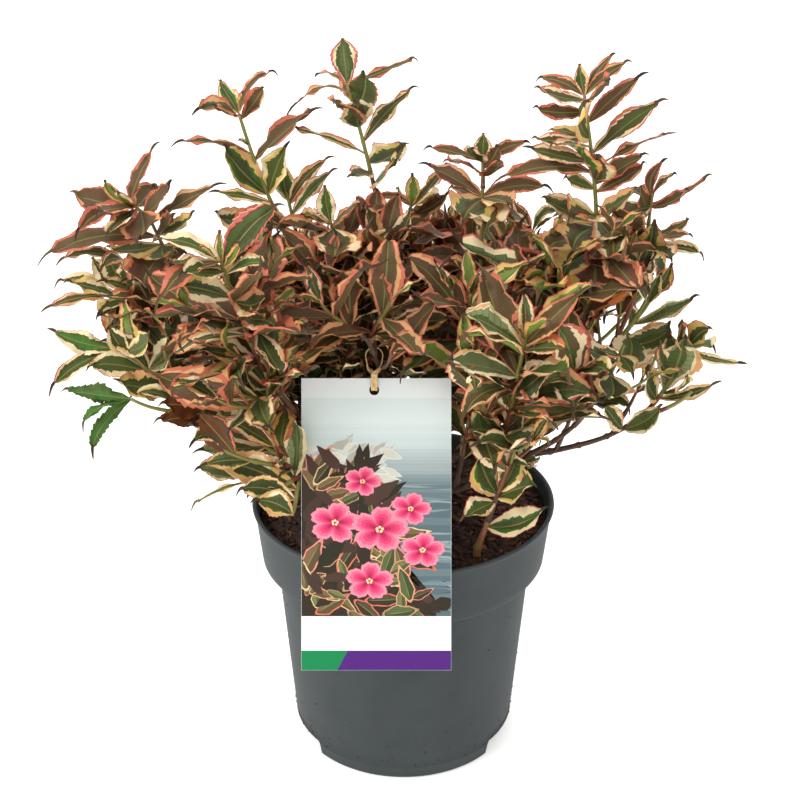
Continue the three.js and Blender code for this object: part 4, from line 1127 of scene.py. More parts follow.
# The height where leaves begin to catch the sun, how much of it makes a leaf of each sort, and where
# on its shoot it may be a young one.
SUN = {
    "from": 0.25, "over": 0.12, "uneven": 0.45, "sun": 0.68, "half": 0.2, "young": 0.82, "young_chance": -0.2,
}
OUTLINE = {"foot": 0.85, "tail": 1.7, "taper": 2.0, "uneven": 0.14}
BEND = {
    "from": 0.72, "over": 0.28, "down": 0.8, "least_curl": 0.4, "sweep": 0.35, "tail_sweep": 0.7,
    "twist": 0.5,
}
TAIL = {
    "half_width": 0.95 * MM, "narrow_from": 1.03, "narrow_over": 0.1, "narrowest": 0.4, "foot": 0.03,
    "from": 0.8, "curl": 1.9, "rise": 1.3 * MM, "hook": 2.2 * MM, "least_hook": 0.7, "uneven_hook": 0.5,
    "fold": 0.9, "fold_before": 0.16, "fold_over": 0.14, "dry": 0.82, "dry_late": 0.87, "chance": -0.2,
}
BLADE = {
    "from": 0.08, "to": 0.86, "ease": 0.1, "fold": 0.28, "uneven_fold": 0.2, "pivot": 0.5,
    "ruffle": 0.05, "quilt": 0.006,
}
RIB = {"half_width": 0.32 * MM, "least": 0.05, "most": 0.3}
EDGE = {"width": 0.5 * MM, "least": 0.06, "most": 0.4}
MARGIN = {
    "uneven": 0.12, "wave": 0.15, "rough": 0.09, "tail": 0.35, "tail_from": 0.78, "tail_over": 0.12,
    "foot": 0.2, "foot_to": 0.2, "off_rib": 0.12, "off_edge": 0.08,
}
# How often each line waves along a leaf, slowly and quickly, and how strongly.
WAVES = {"ruffle": (2.1, 3.7), "inner": (1.1, 2.9), "tone": (0.9, 2.3), "outer": (1.3, 3.3)}
WAVE_SHARES = (0.6, 0.4)
# Where a wandering line runs between its neighbours: in the middle, at the least and at the most.
WANDERS = {"tone": (0.55, 0.12, 0.92), "outer": (0.5, 0.1, 0.9)}
WANDER = 0.4
VEINS = {
    "count": 9, "first": 0.1, "last": 0.8, "width": 0.011, "slack": 1.01, "slant": 0.06, "none_after": 0.84,
}
STATIONS = np.concatenate((
    (0.0, 0.03),
    np.add.outer(np.linspace(VEINS["first"], VEINS["last"], VEINS["count"]), (0.0, VEINS["width"])).ravel(),
    (0.86, 0.91, 0.955, 1.0),
))
COLUMNS = 13
TINY = 1e-9
BELOW_ONE = 0.9999
UNEVEN = {"start": 1.7, "step": 4.1414}


def pick(choices, *keys):
    return choices[int((jitter(*keys) + 1) / 2 * len(choices) * BELOW_ONE)]


def sort_of(leaf):
    """A leaf's sort: its own, or by how young it is and how much sun reaches its tip."""
    if leaf.sort:
        return leaf.sort
    tip = leaf.root + leaf.direction * leaf.length
    sun = (tip[2] - SUN["from"]) / SUN["over"] + SUN["uneven"] * jitter(*leaf.keys, 11)
    if leaf.along > SUN["young"] and jitter(*leaf.keys, 12) > SUN["young_chance"]:
        return "young"
    if sun > SUN["sun"]:
        return "sun"
    return "half" if sun > SUN["half"] else "shade"


def wave(along, keys, slow, quick):
    """A gentle uneven wave along a leaf, between about -1 and 1."""
    first, second = (math.pi * jitter(*keys[:3], key) for key in (keys[3], keys[3] + 1))
    gentle = WAVE_SHARES[0] * np.sin(2 * math.pi * slow * along + first)
    return gentle + WAVE_SHARES[1] * np.sin(2 * math.pi * quick * along + second)


def rough(keys, count, key):
    """Uneven numbers between -1 and 1, the same for the same keys."""
    seed = sum((place + UNEVEN["start"]) * step for place, step in zip((*keys, key), SEED_STEPS))
    spun = np.sin(seed + np.arange(count) * UNEVEN["step"]) * SEED_SCALE
    return 2 * (spun - np.floor(spun)) - 1


def shown_line(leaf, along):
    """The midrib of a shown leaf and its direction, with a small hook at the tip."""
    t = along[:, None]
    knee = 2 * leaf.middle - (leaf.root + leaf.tip) / 2
    centre = leaf.root * (1 - t) ** 2 + 2 * knee * t * (1 - t) + leaf.tip * t ** 2
    hook = np.clip((t - TAIL["from"]) / (1 - TAIL["from"]), 0, 1)
    over = TAIL["rise"] * np.sin(math.pi * hook) - TAIL["hook"] * hook ** 3
    centre = centre + UP * over * (TAIL["least_hook"] + TAIL["uneven_hook"] * jitter(*leaf.keys, 12))
    ahead = (knee - leaf.root) * (1 - t) + (leaf.tip - knee) * t
    return centre, ahead / np.linalg.norm(ahead, axis=1, keepdims=True)


def grown_line(leaf, along):
    """The midrib of any other leaf and its direction, drooping, sweeping and curled at the tip."""
    keys = leaf.keys
    tail = smooth((along - BEND["from"]) / BEND["over"])
    hook = smooth((along - TAIL["from"]) / (1 - TAIL["from"]))
    bend = leaf.droop * along + BEND["down"] * jitter(*keys, 13) * tail
    bend += TAIL["curl"] * (BEND["least_curl"] + jitter(*keys, 12)) * hook
    sweep = BEND["sweep"] * jitter(*keys, 14) * along + BEND["tail_sweep"] * jitter(*keys, 15) * tail
    ahead = np.stack((np.cos(bend) * np.cos(sweep), np.cos(bend) * np.sin(sweep), -np.sin(bend)), axis=1)
    ahead = ahead @ np.array((leaf.direction, leaf.side, leaf.upper))
    steps = np.diff(along, prepend=0.0)[:, None]
    return leaf.root + np.cumsum(ahead * steps * leaf.length, axis=0), ahead


def leaf_line(leaf, along):
    """The midrib's places with the leaf's direction, side and normal along it."""
    centre, ahead = (grown_line if leaf.middle is None else shown_line)(leaf, along)
    side = leaf.side - ahead * (ahead @ leaf.side)[:, None]
    side /= np.linalg.norm(side, axis=1, keepdims=True)
    twist = (BEND["twist"] * jitter(*leaf.keys, 16) * along)[:, None]
    return centre, ahead, *turned(side, np.cross(side, ahead), np.cos(twist), np.sin(twist))


def half_width(leaf, along, width):
    """The leaf's outline: full below its middle, then drawn out into a thin tail."""
    widest = LEAF["widest"]
    foot = np.sin(math.pi / 2 * np.clip(along / widest, 0, 1)) ** OUTLINE["foot"]
    beyond = np.clip((along - widest) / (1 - widest), 0, 1)
    tail = (1 - beyond ** OUTLINE["tail"]) ** OUTLINE["taper"]
    shape = np.where(along < widest, foot, tail)
    full = leaf.length * (leaf.width or width * (1 + OUTLINE["uneven"] * jitter(*leaf.keys, 17))) / 2
    narrowing = np.clip((TAIL["narrow_from"] - along) / TAIL["narrow_over"], TAIL["narrowest"], 1)
    return np.maximum(full * shape, TAIL["half_width"] * narrowing * smooth(along / TAIL["foot"]))


def between(first, last, wander, middle, least, most):
    return first + (last - first) * np.clip(middle + WANDER * wander, least, most)


def zone_lines(leaf, along, outline, body, wide, hand):
    """The lines that part one half of a leaf into its zones, from the midrib to the edge."""
    keys, key = leaf.keys, 20 + 5 * hand
    rib = np.clip(RIB["half_width"] / (outline + TINY), RIB["least"], RIB["most"])
    edge = 1 - np.clip(EDGE["width"] / (outline + TINY), EDGE["least"], EDGE["most"])
    inner = 1 - wide + MARGIN["uneven"] * jitter(*keys, key)
    inner = inner + MARGIN["wave"] * wave(along, (*keys, key + 1), *WAVES["inner"])
    inner += MARGIN["rough"] * rough(keys, len(along), key + 60) * body
    closing = MARGIN["tail"] * smooth((along - MARGIN["tail_from"]) / MARGIN["tail_over"])
    inner += closing - MARGIN["foot"] * smooth((MARGIN["foot_to"] - along) / MARGIN["foot_to"])
    inner = np.clip(inner, rib + MARGIN["off_rib"], edge - MARGIN["off_edge"])
    tone = between(rib, inner, wave(along, (*keys, key + 2), *WAVES["tone"]), *WANDERS["tone"])
    outer = between(inner, edge, wave(along, (*keys, key + 3), *WAVES["outer"]), *WANDERS["outer"])
    return [hand * line for line in (rib, tone, inner, outer, edge, np.ones(len(along)))]


def leaf_sheet(leaf, width):
    """One leaf as a grid whose lines follow the edges of its colours and its side veins."""
    along, keys, sort = STATIONS, leaf.keys, sort_of(leaf)
    centre, ahead, side, normal = leaf_line(leaf, along)
    outline = half_width(leaf, along, width)
    tooth = np.where(np.arange(len(along)) % 2 == 0, -1.0, 1.0)
    body = smooth((along - BLADE["from"]) / BLADE["ease"]) * smooth((BLADE["to"] - along) / BLADE["ease"])
    teeth = TEETH.get(sort, TEETH["other"]) * tooth + TEETH["uneven"] * rough(keys, len(along), 59)
    outline *= 1 + teeth * body
    tail_fold = TAIL["fold"] * smooth((along - TAIL["from"] + TAIL["fold_before"]) / TAIL["fold_over"])
    fold = (BLADE["fold"] + BLADE["uneven_fold"] * jitter(*keys, 18) + tail_fold)[:, None]
    ruffle = BLADE["ruffle"] * leaf.length * body * wave(along, (*keys, 19), *WAVES["ruffle"])
    wide = MARGIN_SHARE.get(sort, MARGIN_SHARE["other"])
    left, right = (zone_lines(leaf, along, outline, body, wide, hand) for hand in (-1, 1))
    across = np.stack(left[::-1] + [np.zeros(len(along))] + right, axis=1)
    body, tooth, away = body[:, None], tooth[:, None], np.abs(across)
    offset = across * outline[:, None]
    lift = (np.abs(offset) - BLADE["pivot"] * outline[:, None]) * fold
    lift = lift + np.sign(across) * across ** 2 * ruffle[:, None]
    quilt = BLADE["quilt"] * leaf.length * body * tooth * away * (1 - away)
    forward = VEINS["slant"] * leaf.length * body * away
    places = centre[:, None] + offset[..., None] * side[:, None] + (lift + quilt)[..., None] * normal[:, None]
    places += forward[..., None] * ahead[:, None]
    return places.reshape(-1, 3), leaf_tones(leaf, sort, along)


def leaf_tones(leaf, sort, along):
    """The material of each face: rib, two centre tones, two margin tones and the edge."""
    keys = leaf.keys
    choices = [tones.split() for tones in SORTS[sort].split(", ")]
    centre_a, centre_b, margin_a, margin_b, edges, (vein,) = choices
    middle = (along[1:] + along[:-1]) / 2
    rows = len(middle)
    is_vein = (np.diff(along) < VEINS["width"] * VEINS["slack"]) & (middle < VEINS["none_after"])
    dry = middle > (TAIL["dry"] if jitter(*keys, 49) > TAIL["chance"] else TAIL["dry_late"])
    tail = TONE_INDEX["dark" if jitter(*keys, 48) > TAIL["chance"] and sort != "young" else "bronze"]
    halves = []
    for hand in (-1, 1):
        key = 40 + 5 * hand
        change = 0.5 + 0.4 * jitter(*keys, key)
        zones = [np.full(rows, TONE_INDEX["rib"])]
        for tones, number in ((centre_a, 41), (centre_b, 42)):
            tone = TONE_INDEX[pick(tones, *keys, number)]
            zones.append(np.where(is_vein, TONE_INDEX[vein], tone))
        for tones, number in ((margin_a, 43), (margin_b, 44)):
            start, end = (TONE_INDEX[pick(tones, *keys, number + 3 * turn)] for turn in (0, 1))
            zones.append(np.where(middle < change, start, end))
        zones.append(np.full(rows, TONE_INDEX[pick(edges, *keys, key + 1)]))
        halves.append([np.where(dry, tail, zone) for zone in zones])
    return np.stack(halves[0][::-1] + halves[1], axis=1).ravel()


def dress_leaves(leaves, leaf_width, tones):
    materials = [surface(f"leaf_{tone}", "leaf", getattr(tones, tone)) for tone in TONES]
    nodes = [f"leaves_{limb.name}" for limb in all_limbs()]
    faces = grid_faces(len(STATIONS), COLUMNS)
    share = PIECE_TRIANGLES // (2 * len(faces))
    groups = [leaves[start:start + share] for start in range(0, len(leaves), share)]
    for index, group in enumerate(groups):
        pile = Pile()
        for leaf in group:
            places, slots = leaf_sheet(leaf, leaf_width)
            pile.add(places, faces, slots)
        finish_piece(pile.piece(f"leaves_{index + 1}", materials), "leaves", *nodes[index::len(groups)])


# --- stems and bark

KNUCKLE = {"spacing": 19 * MM, "half_width": 1.1 * MM, "rise": 0.32, "uneven": 0.4}
# Each wave of ridges: how many go round, how it winds, its share of the seed, its height.
RIDGES = ((3, 0.31, 1, 0.4), (7, -0.17, 2, 0.35), (5, 1.9, 1, 0.25))
RINGS = {"bough": 1.4 * MM, "stem": 3 * MM, "fewest": 8, "trunk": 60}
SIDES = {"bough": 14, "stem": 8, "trunk": 40}
# How much thinner the bark's middle is than the frame's limb, to leave room for its ridges.
BARK_SHARE = {"root": 0.94, "tip": 0.72, "trunk": 0.97, "trunk_relief": 0.8, "stem_relief": 0.03}
SEEDS = {"bough": 1.7, "trunk": 3.3, "stem": 0.7}
BROWN = {"uneven": 0.15, "red_for": 0.3}


def bark_swell(points, sides, seed, strength):
    """Uneven ridges round a limb, with a knuckle at each old leaf scar."""
    row = np.arange(len(points))[:, None]
    angle = even_angles(sides)[None]
    ridges = sum(
        np.sin(count * angle + row * wind + phase * seed) * height for count, wind, phase, height in RIDGES
    )
    lengths = np.concatenate(([0.0], np.cumsum(np.linalg.norm(np.diff(points, axis=0), axis=1))))
    from_scar = (lengths + seed * MM) % KNUCKLE["spacing"] - KNUCKLE["spacing"] / 2
    knuckle = np.exp(-(from_scar / KNUCKLE["half_width"]) ** 2)[:, None]
    uneven = 1 + KNUCKLE["uneven"] * np.cos(2 * angle + seed)
    return 1 + strength * ridges + KNUCKLE["rise"] * knuckle * uneven


def dress_bark(settings):
    bark = surface("bark", "bark", settings.bark, settings.bark_worn)
    young = surface("young_bark", "young_bark", settings.stem, settings.stem_red)
    for index, limb in enumerate(all_limbs()):
        count = int(limb.bough.length / RINGS["bough"])
        points = limb.bough.spread(count)
        radii = np.linspace(BOUGH["root"] * BARK_SHARE["root"], BOUGH["tip"] * BARK_SHARE["tip"], count)
        swell = bark_swell(points, SIDES["bough"], index * SEEDS["bough"], settings.relief)
        material, slot = (young, "young_stem") if limb.name == "sprout" else (bark, "bark")
        piece = plain_object(f"bark_{limb.name}", *tube(points, radii, swell), material)
        finish_piece(piece, slot, f"bough_{limb.name}")
    heights = np.linspace(TRUNK_FOOT, TRUNK["top"], RINGS["trunk"])
    points = np.stack((np.zeros(len(heights)), trunk_lean(heights), heights), axis=1)
    radii = np.array([trunk_radius(height) for height in heights])
    relief = settings.relief * BARK_SHARE["trunk_relief"]
    swell = bark_swell(points, SIDES["trunk"], SEEDS["trunk"], relief) * BARK_SHARE["trunk"]
    finish_piece(plain_object("bark_trunk", *tube(points, radii, swell), bark), "bark", "trunk")


def dress_twigs(twigs, girth, settings):
    """Every shoot and twig: brown at the foot, then red, then green."""
    colours = {"green": settings.shoot_tip, "red": settings.shoot_middle, "brown": settings.shoot_foot}
    materials = [surface(f"shoot_{name}", f"shoot_{name}", colour) for name, colour in colours.items()]
    green, red, brown = range(len(materials))
    pile = Pile()
    for index, (curve, kind) in enumerate(twigs):
        foot, tip, brown_up_to = STEM_KINDS[kind]
        count = max(RINGS["fewest"], int(curve.length / RINGS["stem"]))
        points = curve.spread(count)
        swell = bark_swell(points, SIDES["stem"], index * SEEDS["stem"], BARK_SHARE["stem_relief"])
        vertices, faces = tube(points, np.linspace(foot, tip, count) * girth, swell)
        share = np.repeat(np.linspace(0, 1, count + 1), SIDES["stem"])
        change = brown_up_to + BROWN["uneven"] * jitter(index, 3)
        tones = np.where(share < change, brown, np.where(share < change + BROWN["red_for"], red, green))
        pile.add(vertices, faces, tones)
    finish_piece(pile.piece("twigs", materials), "young_stem")


# --- pot and soil

POT = {
    "base": 71.6 * MM, "body_top": 81.6 * MM, "body_foot": 2.2 * MM, "body_height": 127 * MM,
    "collar": 89.5 * MM, "recess": 8.0 * MM, "foot": 5.5 * MM, "notch": 10.4 * MM, "notch_half": 40.5,
    "segments": 192, "oval": 1.3 * MM,
}
# Steps of the pot's half profile, in millimetres out and up from a radius and a height of its own.
POT_STEPS = {
    "foot": (
        (-4.2, 0.2), (-2.4, 0), (-1.2, 0.2), (-0.3, 1), (0, 2.4), (0.36, 7.6), (0.72, 8.1), (0.78, 8.9),
        (0.5, 9.3),
    ),
    "shelf": ((0.2, -0.5), (1.4, 0)),
    "collar": ((-1.8, 0.3), (-0.6, 0.9), (0, 2.2)),
    "lip": (
        (-1.2, -2.6), (-0.4, -2.3), (0, -1.5), (-0.15, -0.6), (-0.8, 0), (-2, -0.1), (-2.9, -0.9), (-3.2, -3),
    ),
    "inside": ((0, 6), (-1, 3)),
}
CUBE = np.array([(a, b, c) for a in (-1, 1) for b in (-1, 1) for c in (-1, 1)], float)
CUBE_FACES = np.array([(0, 1, 3, 2), (4, 6, 7, 5), (0, 4, 5, 1), (2, 3, 7, 6), (0, 2, 6, 4), (1, 5, 7, 3)])
SOIL_RINGS = {
    "count": 56, "segments": 160, "bump": 0.5 * MM, "sink": 0.4 * MM, "crowding": 0.8, "eye": 0.02 * MM,
}
SOIL_WALL = RIM_RADIUS - 4.4 * MM
CHIPS = {
    "count": 1700, "seed": 11, "most": (3.8 * MM, 1.6 * MM, 0.8 * MM), "least": (0.16, 0.25, 0.3),
    "off_wall": 3 * MM, "tilt": 0.5, "mix": (0.36, 0.28, 0.2, 0.16),
}
CHIP_DARK, CHIP_BLACK = "#3d261b", "#1d1410"
SPECKS = {
    "count": 260, "seed": 23, "near_base": 0.6, "largest": 0.6 * MM, "smallest": 0.15 * MM,
    "low": (10 * MM, 24 * MM), "high": (24 * MM, 122 * MM), "crowding": 1.6, "mix": (0.2, 0.3, 0.4, 0.1),
}


def mix(first, second, share):
    return [lerp(a, b, share) for a, b in zip(first, second)]


def pot_steps(part, radius, height):
    return [(radius + out * MM, height + up * MM) for out, up in POT_STEPS[part]]


def slope(low, high, first, last, count):
    """Places along a straight side of the profile, from one share of it to another."""
    return [mix(low, high, share) for share in np.linspace(first, last, count)]


def pot_outline(wall):
    """The pot's half profile, as radius and height from its underside out, up and in again."""
    base, body, collar, rim = POT["base"], POT["body_top"], POT["collar"], RIM_RADIUS
    recess, shelf, top = POT["recess"], POT["body_height"], RIM_HEIGHT
    under = [
        (0.0, recess), (base * 0.5, recess), (base - POT["foot"], recess - 0.3 * MM),
        (base - POT["foot"] + 0.4 * MM, 1.0 * MM),
    ]
    side = slope((base, POT["body_foot"]), (body, shelf), 0.12, 0.985, 12)
    ledge = pot_steps("shelf", body, shelf) + pot_steps("collar", collar, shelf)
    band = slope((collar, shelf + 2 * MM), (rim - 1.5 * MM, top - 2.6 * MM), 0.12, 0.96, 6)
    lip, inside = pot_steps("lip", rim, top), pot_steps("inside", collar - wall, shelf)
    return under + pot_steps("foot", base, 0.0) + side + ledge + band + lip + inside


def dress_pot(settings):
    """The pot, turned from its profile, slightly oval at the collar and notched at the foot."""
    outline = np.array(pot_outline(settings.wall))
    angles = even_angles(POT["segments"])
    radius, height = outline.T
    oval = POT["oval"] * np.cos(angles) ** 2 * (0.7 - 0.3 * np.cos(angles))
    radius = radius[:, None] + np.outer(height > POT["body_height"] + 1 * MM, oval)
    heights = np.repeat(height[:, None], POT["segments"], axis=1)
    rings = np.stack((radius * np.cos(angles), radius * np.sin(angles), heights), axis=-1)
    from_side = np.abs((np.degrees(angles) + 90) % 180 - 90)
    low = (height < POT["notch"])[:, None] & (radius > POT["base"] - POT["foot"] - 1 * MM)
    notched = low & (from_side < POT["notch_half"])[None]
    rings[..., 2] = np.where(notched, POT["notch"], rings[..., 2])
    faces = grid_faces(len(outline), POT["segments"], closed=True)
    plastic = surface("pot_plastic", "pot", settings.plastic, settings.plastic_worn)
    finish_piece(plain_object("pot_body", rings.reshape(-1, 3), faces, plastic), "pot", "pot")


def crumb(random, size, turn, tilt):
    corners = CUBE * size * random.uniform(0.6, 1.1, (8, 3))
    spin = np.array(((math.cos(turn), math.sin(turn), 0), (-math.sin(turn), math.cos(turn), 0), (0, 0, 1)))
    corners = corners @ spin
    corners[:, 2] += corners[:, 0] * math.sin(tilt)
    return corners


def soil_bumps(x, y):
    bumps = np.sin(x * 310 + 1.3) * np.sin(y * 270 + 0.4) + 0.6 * np.sin(x * 710 + y * 530)
    return bumps + 0.5 * np.sin(y * 990 - x * 610 + 2)


def soil_chips():
    """Chips of bark and crumbs, strewn over the soil."""
    random = np.random.default_rng(CHIPS["seed"])
    pile = Pile()
    for _ in range(CHIPS["count"]):
        reach = (SOIL_WALL - CHIPS["off_wall"]) * math.sqrt(random.random())
        heading = random.random() * 360
        size = np.array(CHIPS["most"]) * random.uniform(CHIPS["least"], 1.0)
        turn, tilt = random.uniform(0, math.pi), random.uniform(-CHIPS["tilt"], CHIPS["tilt"])
        corners = crumb(random, size, turn, tilt)
        spot = polar(heading, reach, soil_top(reach) + size[2] * 0.5)
        pile.add(corners + spot, CUBE_FACES, np.full(6, random.choice(4, p=CHIPS["mix"])))
    return pile


def pot_specks():
    """Crumbs of soil splashed on the outside of the pot."""
    random = np.random.default_rng(SPECKS["seed"])
    pile = Pile()
    for _ in range(SPECKS["count"]):
        low, high = SPECKS["low"] if random.random() < SPECKS["near_base"] else SPECKS["high"]
        height = lerp(low, high, random.random() ** SPECKS["crowding"])
        up_wall = (height - POT["body_foot"]) / (POT["body_height"] - POT["body_foot"])
        size = random.uniform(SPECKS["smallest"], SPECKS["largest"], 3) * (1, 1, 0.8)
        corners = crumb(random, size, random.uniform(0, math.pi), 0.0)
        spot = polar(random.random() * 360, lerp(POT["base"], POT["body_top"], up_wall), height)
        pile.add(corners + spot, CUBE_FACES, np.full(6, random.choice(4, p=SPECKS["mix"])))
    return pile


def dress_soil(settings):
    radii = SOIL_WALL * np.linspace(0, 1, SOIL_RINGS["count"]) ** SOIL_RINGS["crowding"]
    radii[0] = SOIL_RINGS["eye"]
    angles = even_angles(SOIL_RINGS["segments"])
    x, y = np.outer(radii, np.cos(angles)), np.outer(radii, np.sin(angles))
    height = soil_top(np.hypot(x, y)) + soil_bumps(x, y) * SOIL_RINGS["bump"] - SOIL_RINGS["sink"]
    places = np.stack((x, y, height), axis=-1).reshape(-1, 3)
    soil = surface("soil", "soil", settings.soil, settings.soil_dry)
    piece = plain_object("soil_surface", places, grid_faces(*x.shape, closed=True), soil)
    finish_piece(piece, "soil", "soil")
    colours = {
        "dark": linear(CHIP_DARK), "brown": settings.soil_dry, "orange": settings.bark_chip,
        "black": linear(CHIP_BLACK),
    }
    chips = [surface(f"chip_{name}", "chip", colour) for name, colour in colours.items()]
    finish_piece(soil_chips().piece("soil_chips", chips), "soil")
    finish_piece(pot_specks().piece("pot_specks", chips), "soil")


# --- label and strap

SOFT_TONES = ("#c3bda6", "#aea78f", "#d6cdb9", "#a39a84", "#c4a9a2", "#b9b7a4")
SHADE_TONES = ("#33291e", "#43322a", "#2c2a1c", "#4a352c")
RIM_TONES = ("#dc9a76", "#cf7158", "#dfc596", "#d9887a", "#b98f6c")
BLADE_TONES = (("#3f4a28", "#55633a"), ("#4d5830", "#6a7446"), ("#37301f", "#4e4630"), ("#5b4a31", "#75603f"))
WATER_TONES = ("#7f9498", "#93a6a8", "#5f7479", "#a8b7b6")
BLADE_RIB, STAMEN, WHITE, BARE_STRIP, STRAP_WORN = "#8f8a5e", "#e6cf9a", "#ffffff", "#f1f6f6", "#b98f58"
PICTURE = {
    "seed": 5, "steps": 60, "tones": 18, "top": -11.5 * MM, "foot": -138.5 * MM, "white": -158.5 * MM,
    "strip": 27 * MM, "slant": 6 * MM, "leaves": 140, "mist": 34, "streaks": 46, "squeeze": 0.78,
}
PRINT = {"over_card": 0.02 * MM, "over_last": 0.0003 * MM, "margin": 0.15 * MM}
# The dark ground behind the printed leaves, and each printed flower, in millimetres on the card.
THICKET = (
    (-44, -50), (-30, -46), (-20, -50), (-8, -54), (-2, -62), (4, -64), (6, -76), (10, -84), (4, -92),
    (6, -102), (14, -104), (16, -114), (24, -116), (26, -126), (34, -128), (35, -139), (-44, -139),
)
FLOWERS = ((-8, -60, 11), (20, -76, 12), (-24, -84, 15), (2, -88, 17), (27, -100, 13), (-4, -118, 14))
# How much white, then how much of the throat's colour, is mixed into a petal's layers.
PALE_LAYERS = (0.2, 0.08)
DEEP_LAYERS = (0.35, 0.7)
CARD_SIDES = 96


def on_card(u, v, lift=0.0):
    """Places on the card's front: u right from its middle, v up from its top edge."""
    u, v = np.atleast_1d(u), np.atleast_1d(v)
    front = CARD_TOP + CARD_FRONT * (CARD["thickness"] + lift)
    return front + np.outer(u, RIGHT) + np.outer(v, CARD_UP)


def one_of(tones, random):
    return tones[random.integers(len(tones))]


class Print(Pile):
    """Flat shapes laid over the card, each a hair above the last."""

    def __init__(self):
        super().__init__()
        self.tones, self.lift = [], PRINT["over_card"]

    def shape(self, points, tone):
        """A shape round its middle, in a plain tone, kept on the card."""
        tone = tuple(tone)
        if tone not in self.tones:
            self.tones.append(tone)
        edge = CARD["width"] / 2 - PRINT["margin"]
        points = np.clip(np.array(points), (-edge, PRINT["margin"] - CARD["height"]), (edge, 0.0))
        middle = points.mean(axis=0)
        self.lift += PRINT["over_last"]
        places = on_card(np.append(points[:, 0], middle[0]), np.append(points[:, 1], middle[1]), self.lift)
        corner = np.arange(len(points))
        fan = np.stack((corner, (corner + 1) % len(points), np.full(len(points), len(points))), axis=1)
        self.add(places, fan, np.full(len(points), self.tones.index(tone)))

    def band(self, left, right, top, bottom, tone, slant=0.0):
        self.shape(((left, top), (right, top), (right - slant, bottom), (left, bottom)), tone)

    def blade(self, foot, length, heading, width, bend, tone, inset=0.0, sides=(-1, 1)):
        """A printed leaf, drawn in from its edge if asked, or one half of it."""
        along = 0.5 - 0.5 * np.cos(np.linspace(0, math.pi, 12))
        line = along * (1 - 2.2 * inset) + inset * 0.8
        half = np.sin(math.pi * line ** 0.85) ** 0.9 * (1 - 0.3 * line) * width / 2
        half = np.maximum(half * (1 + 0.12 * np.sin(line * 17 + length * 900)) - inset * width * 0.9, 0)
        half[[0, -1]] = 0
        there_and_back = np.append(line, line[::-1])
        across = np.concatenate((half * sides[1], (half * sides[0])[::-1])) + bend * there_and_back ** 2
        reach, across = length * there_and_back, length * across
        x = foot[0] + reach * math.cos(heading) - across * math.sin(heading)
        y = foot[1] + reach * math.sin(heading) + across * math.cos(heading)
        self.shape(np.stack((x, y), axis=1), tone)

    def blossom(self, middle, size, heading, squeeze, shades):
        """An open flower of five ruffled petals, deepening to its throat."""
        turn = np.arange(26) / 26 * 2 * math.pi
        for layer, tone in enumerate(shades):
            for petal in range(5):
                angle = heading + petal * 2 * math.pi / 5
                share = 1 - 0.15 * layer
                along = size * share * (0.5 - 0.5 * np.cos(turn)) * (1 + 0.05 * np.sin(9 * turn + petal))
                across = size * 0.5 * np.sin(turn) * (0.45 + 0.65 * along / size) * share ** 1.5
                x = along * math.cos(angle) - across * math.sin(angle)
                y = (along * math.sin(angle) + across * math.cos(angle)) * squeeze
                self.shape(np.stack((middle[0] + x, middle[1] + y), axis=1), tone)
        for index in range(5):
            angle = index * 1.3 + heading
            spot = np.array(middle) + size * 0.1 * np.array((math.cos(angle), math.sin(angle) * squeeze))
            dot = spot + size * 0.05 * np.stack((np.cos(turn), np.sin(turn)), axis=1)
            self.shape(dot, linear(STAMEN))


def print_ground(picture, settings, random):
    """The misty backdrop: sky into water, faint streaks and pale leaves far off."""
    edge, top, foot = CARD["width"] / 2, PICTURE["top"], PICTURE["foot"]
    for step in range(PICTURE["steps"]):
        share = step / PICTURE["steps"]
        upper, lower = lerp(top, foot, share), lerp(top, foot, share + 1 / PICTURE["steps"])
        depth = smooth((share - 0.06) / 0.42) * (1 + 0.05 * math.sin(step * 0.9))
        level = round(float(np.clip(depth, 0, 1)) * PICTURE["tones"]) / PICTURE["tones"]
        picture.band(-edge, edge, upper, lower, mix(settings.sky, settings.water, level))
    for _ in range(PICTURE["streaks"]):
        spot = (random.uniform(-0.1, 0.8) * edge, random.uniform(foot + 4 * MM, -56 * MM))
        length, heading = random.uniform(18, 46) * MM, random.uniform(-0.14, 0.04)
        tone = mix(settings.water, linear(one_of(WATER_TONES, random)), 0.6)
        picture.blade(spot, length, heading, random.uniform(0.02, 0.06), 0.04, tone)
    for _ in range(PICTURE["mist"]):
        spot = (random.uniform(-44, 4) * MM, random.uniform(-58, -40) * MM)
        length, heading = random.uniform(10, 20) * MM, random.uniform(-0.6, 1.2)
        tone, width = linear(one_of(SOFT_TONES, random)), random.uniform(0.4, 0.6)
        for layer, share in enumerate((0.35, 0.6, 0.8)):
            picture.blade(spot, length, heading, width, 0.1, mix(settings.sky, tone, share), 0.06 * layer)


def print_leaves(picture, random):
    picture.shape(np.array(THICKET) * MM, linear(SHADE_TONES[0]))
    placed = 0
    while placed < PICTURE["leaves"]:
        spot = random.uniform((-44, -138), (34, -50))
        if not within(spot[None], THICKET)[0]:
            continue
        placed += 1
        length, heading = random.uniform(14, 27) * MM, random.uniform(-0.7, 2.6)
        width, bend = random.uniform(0.3, 0.48), random.uniform(-0.3, 0.3)
        blade = functools.partial(picture.blade, spot * MM, length, heading, width, bend)
        if random.random() < 0.34:
            blade(linear(one_of(SHADE_TONES, random)))
            continue
        rim = one_of(RIM_TONES, random)
        dark, light = one_of(BLADE_TONES, random)
        blade(linear(rim))
        blade(linear(dark), 0.09)
        blade(linear(light), 0.12, (0, 1))
        blade(linear(BLADE_RIB), 0.12, (-0.05, 0.05))


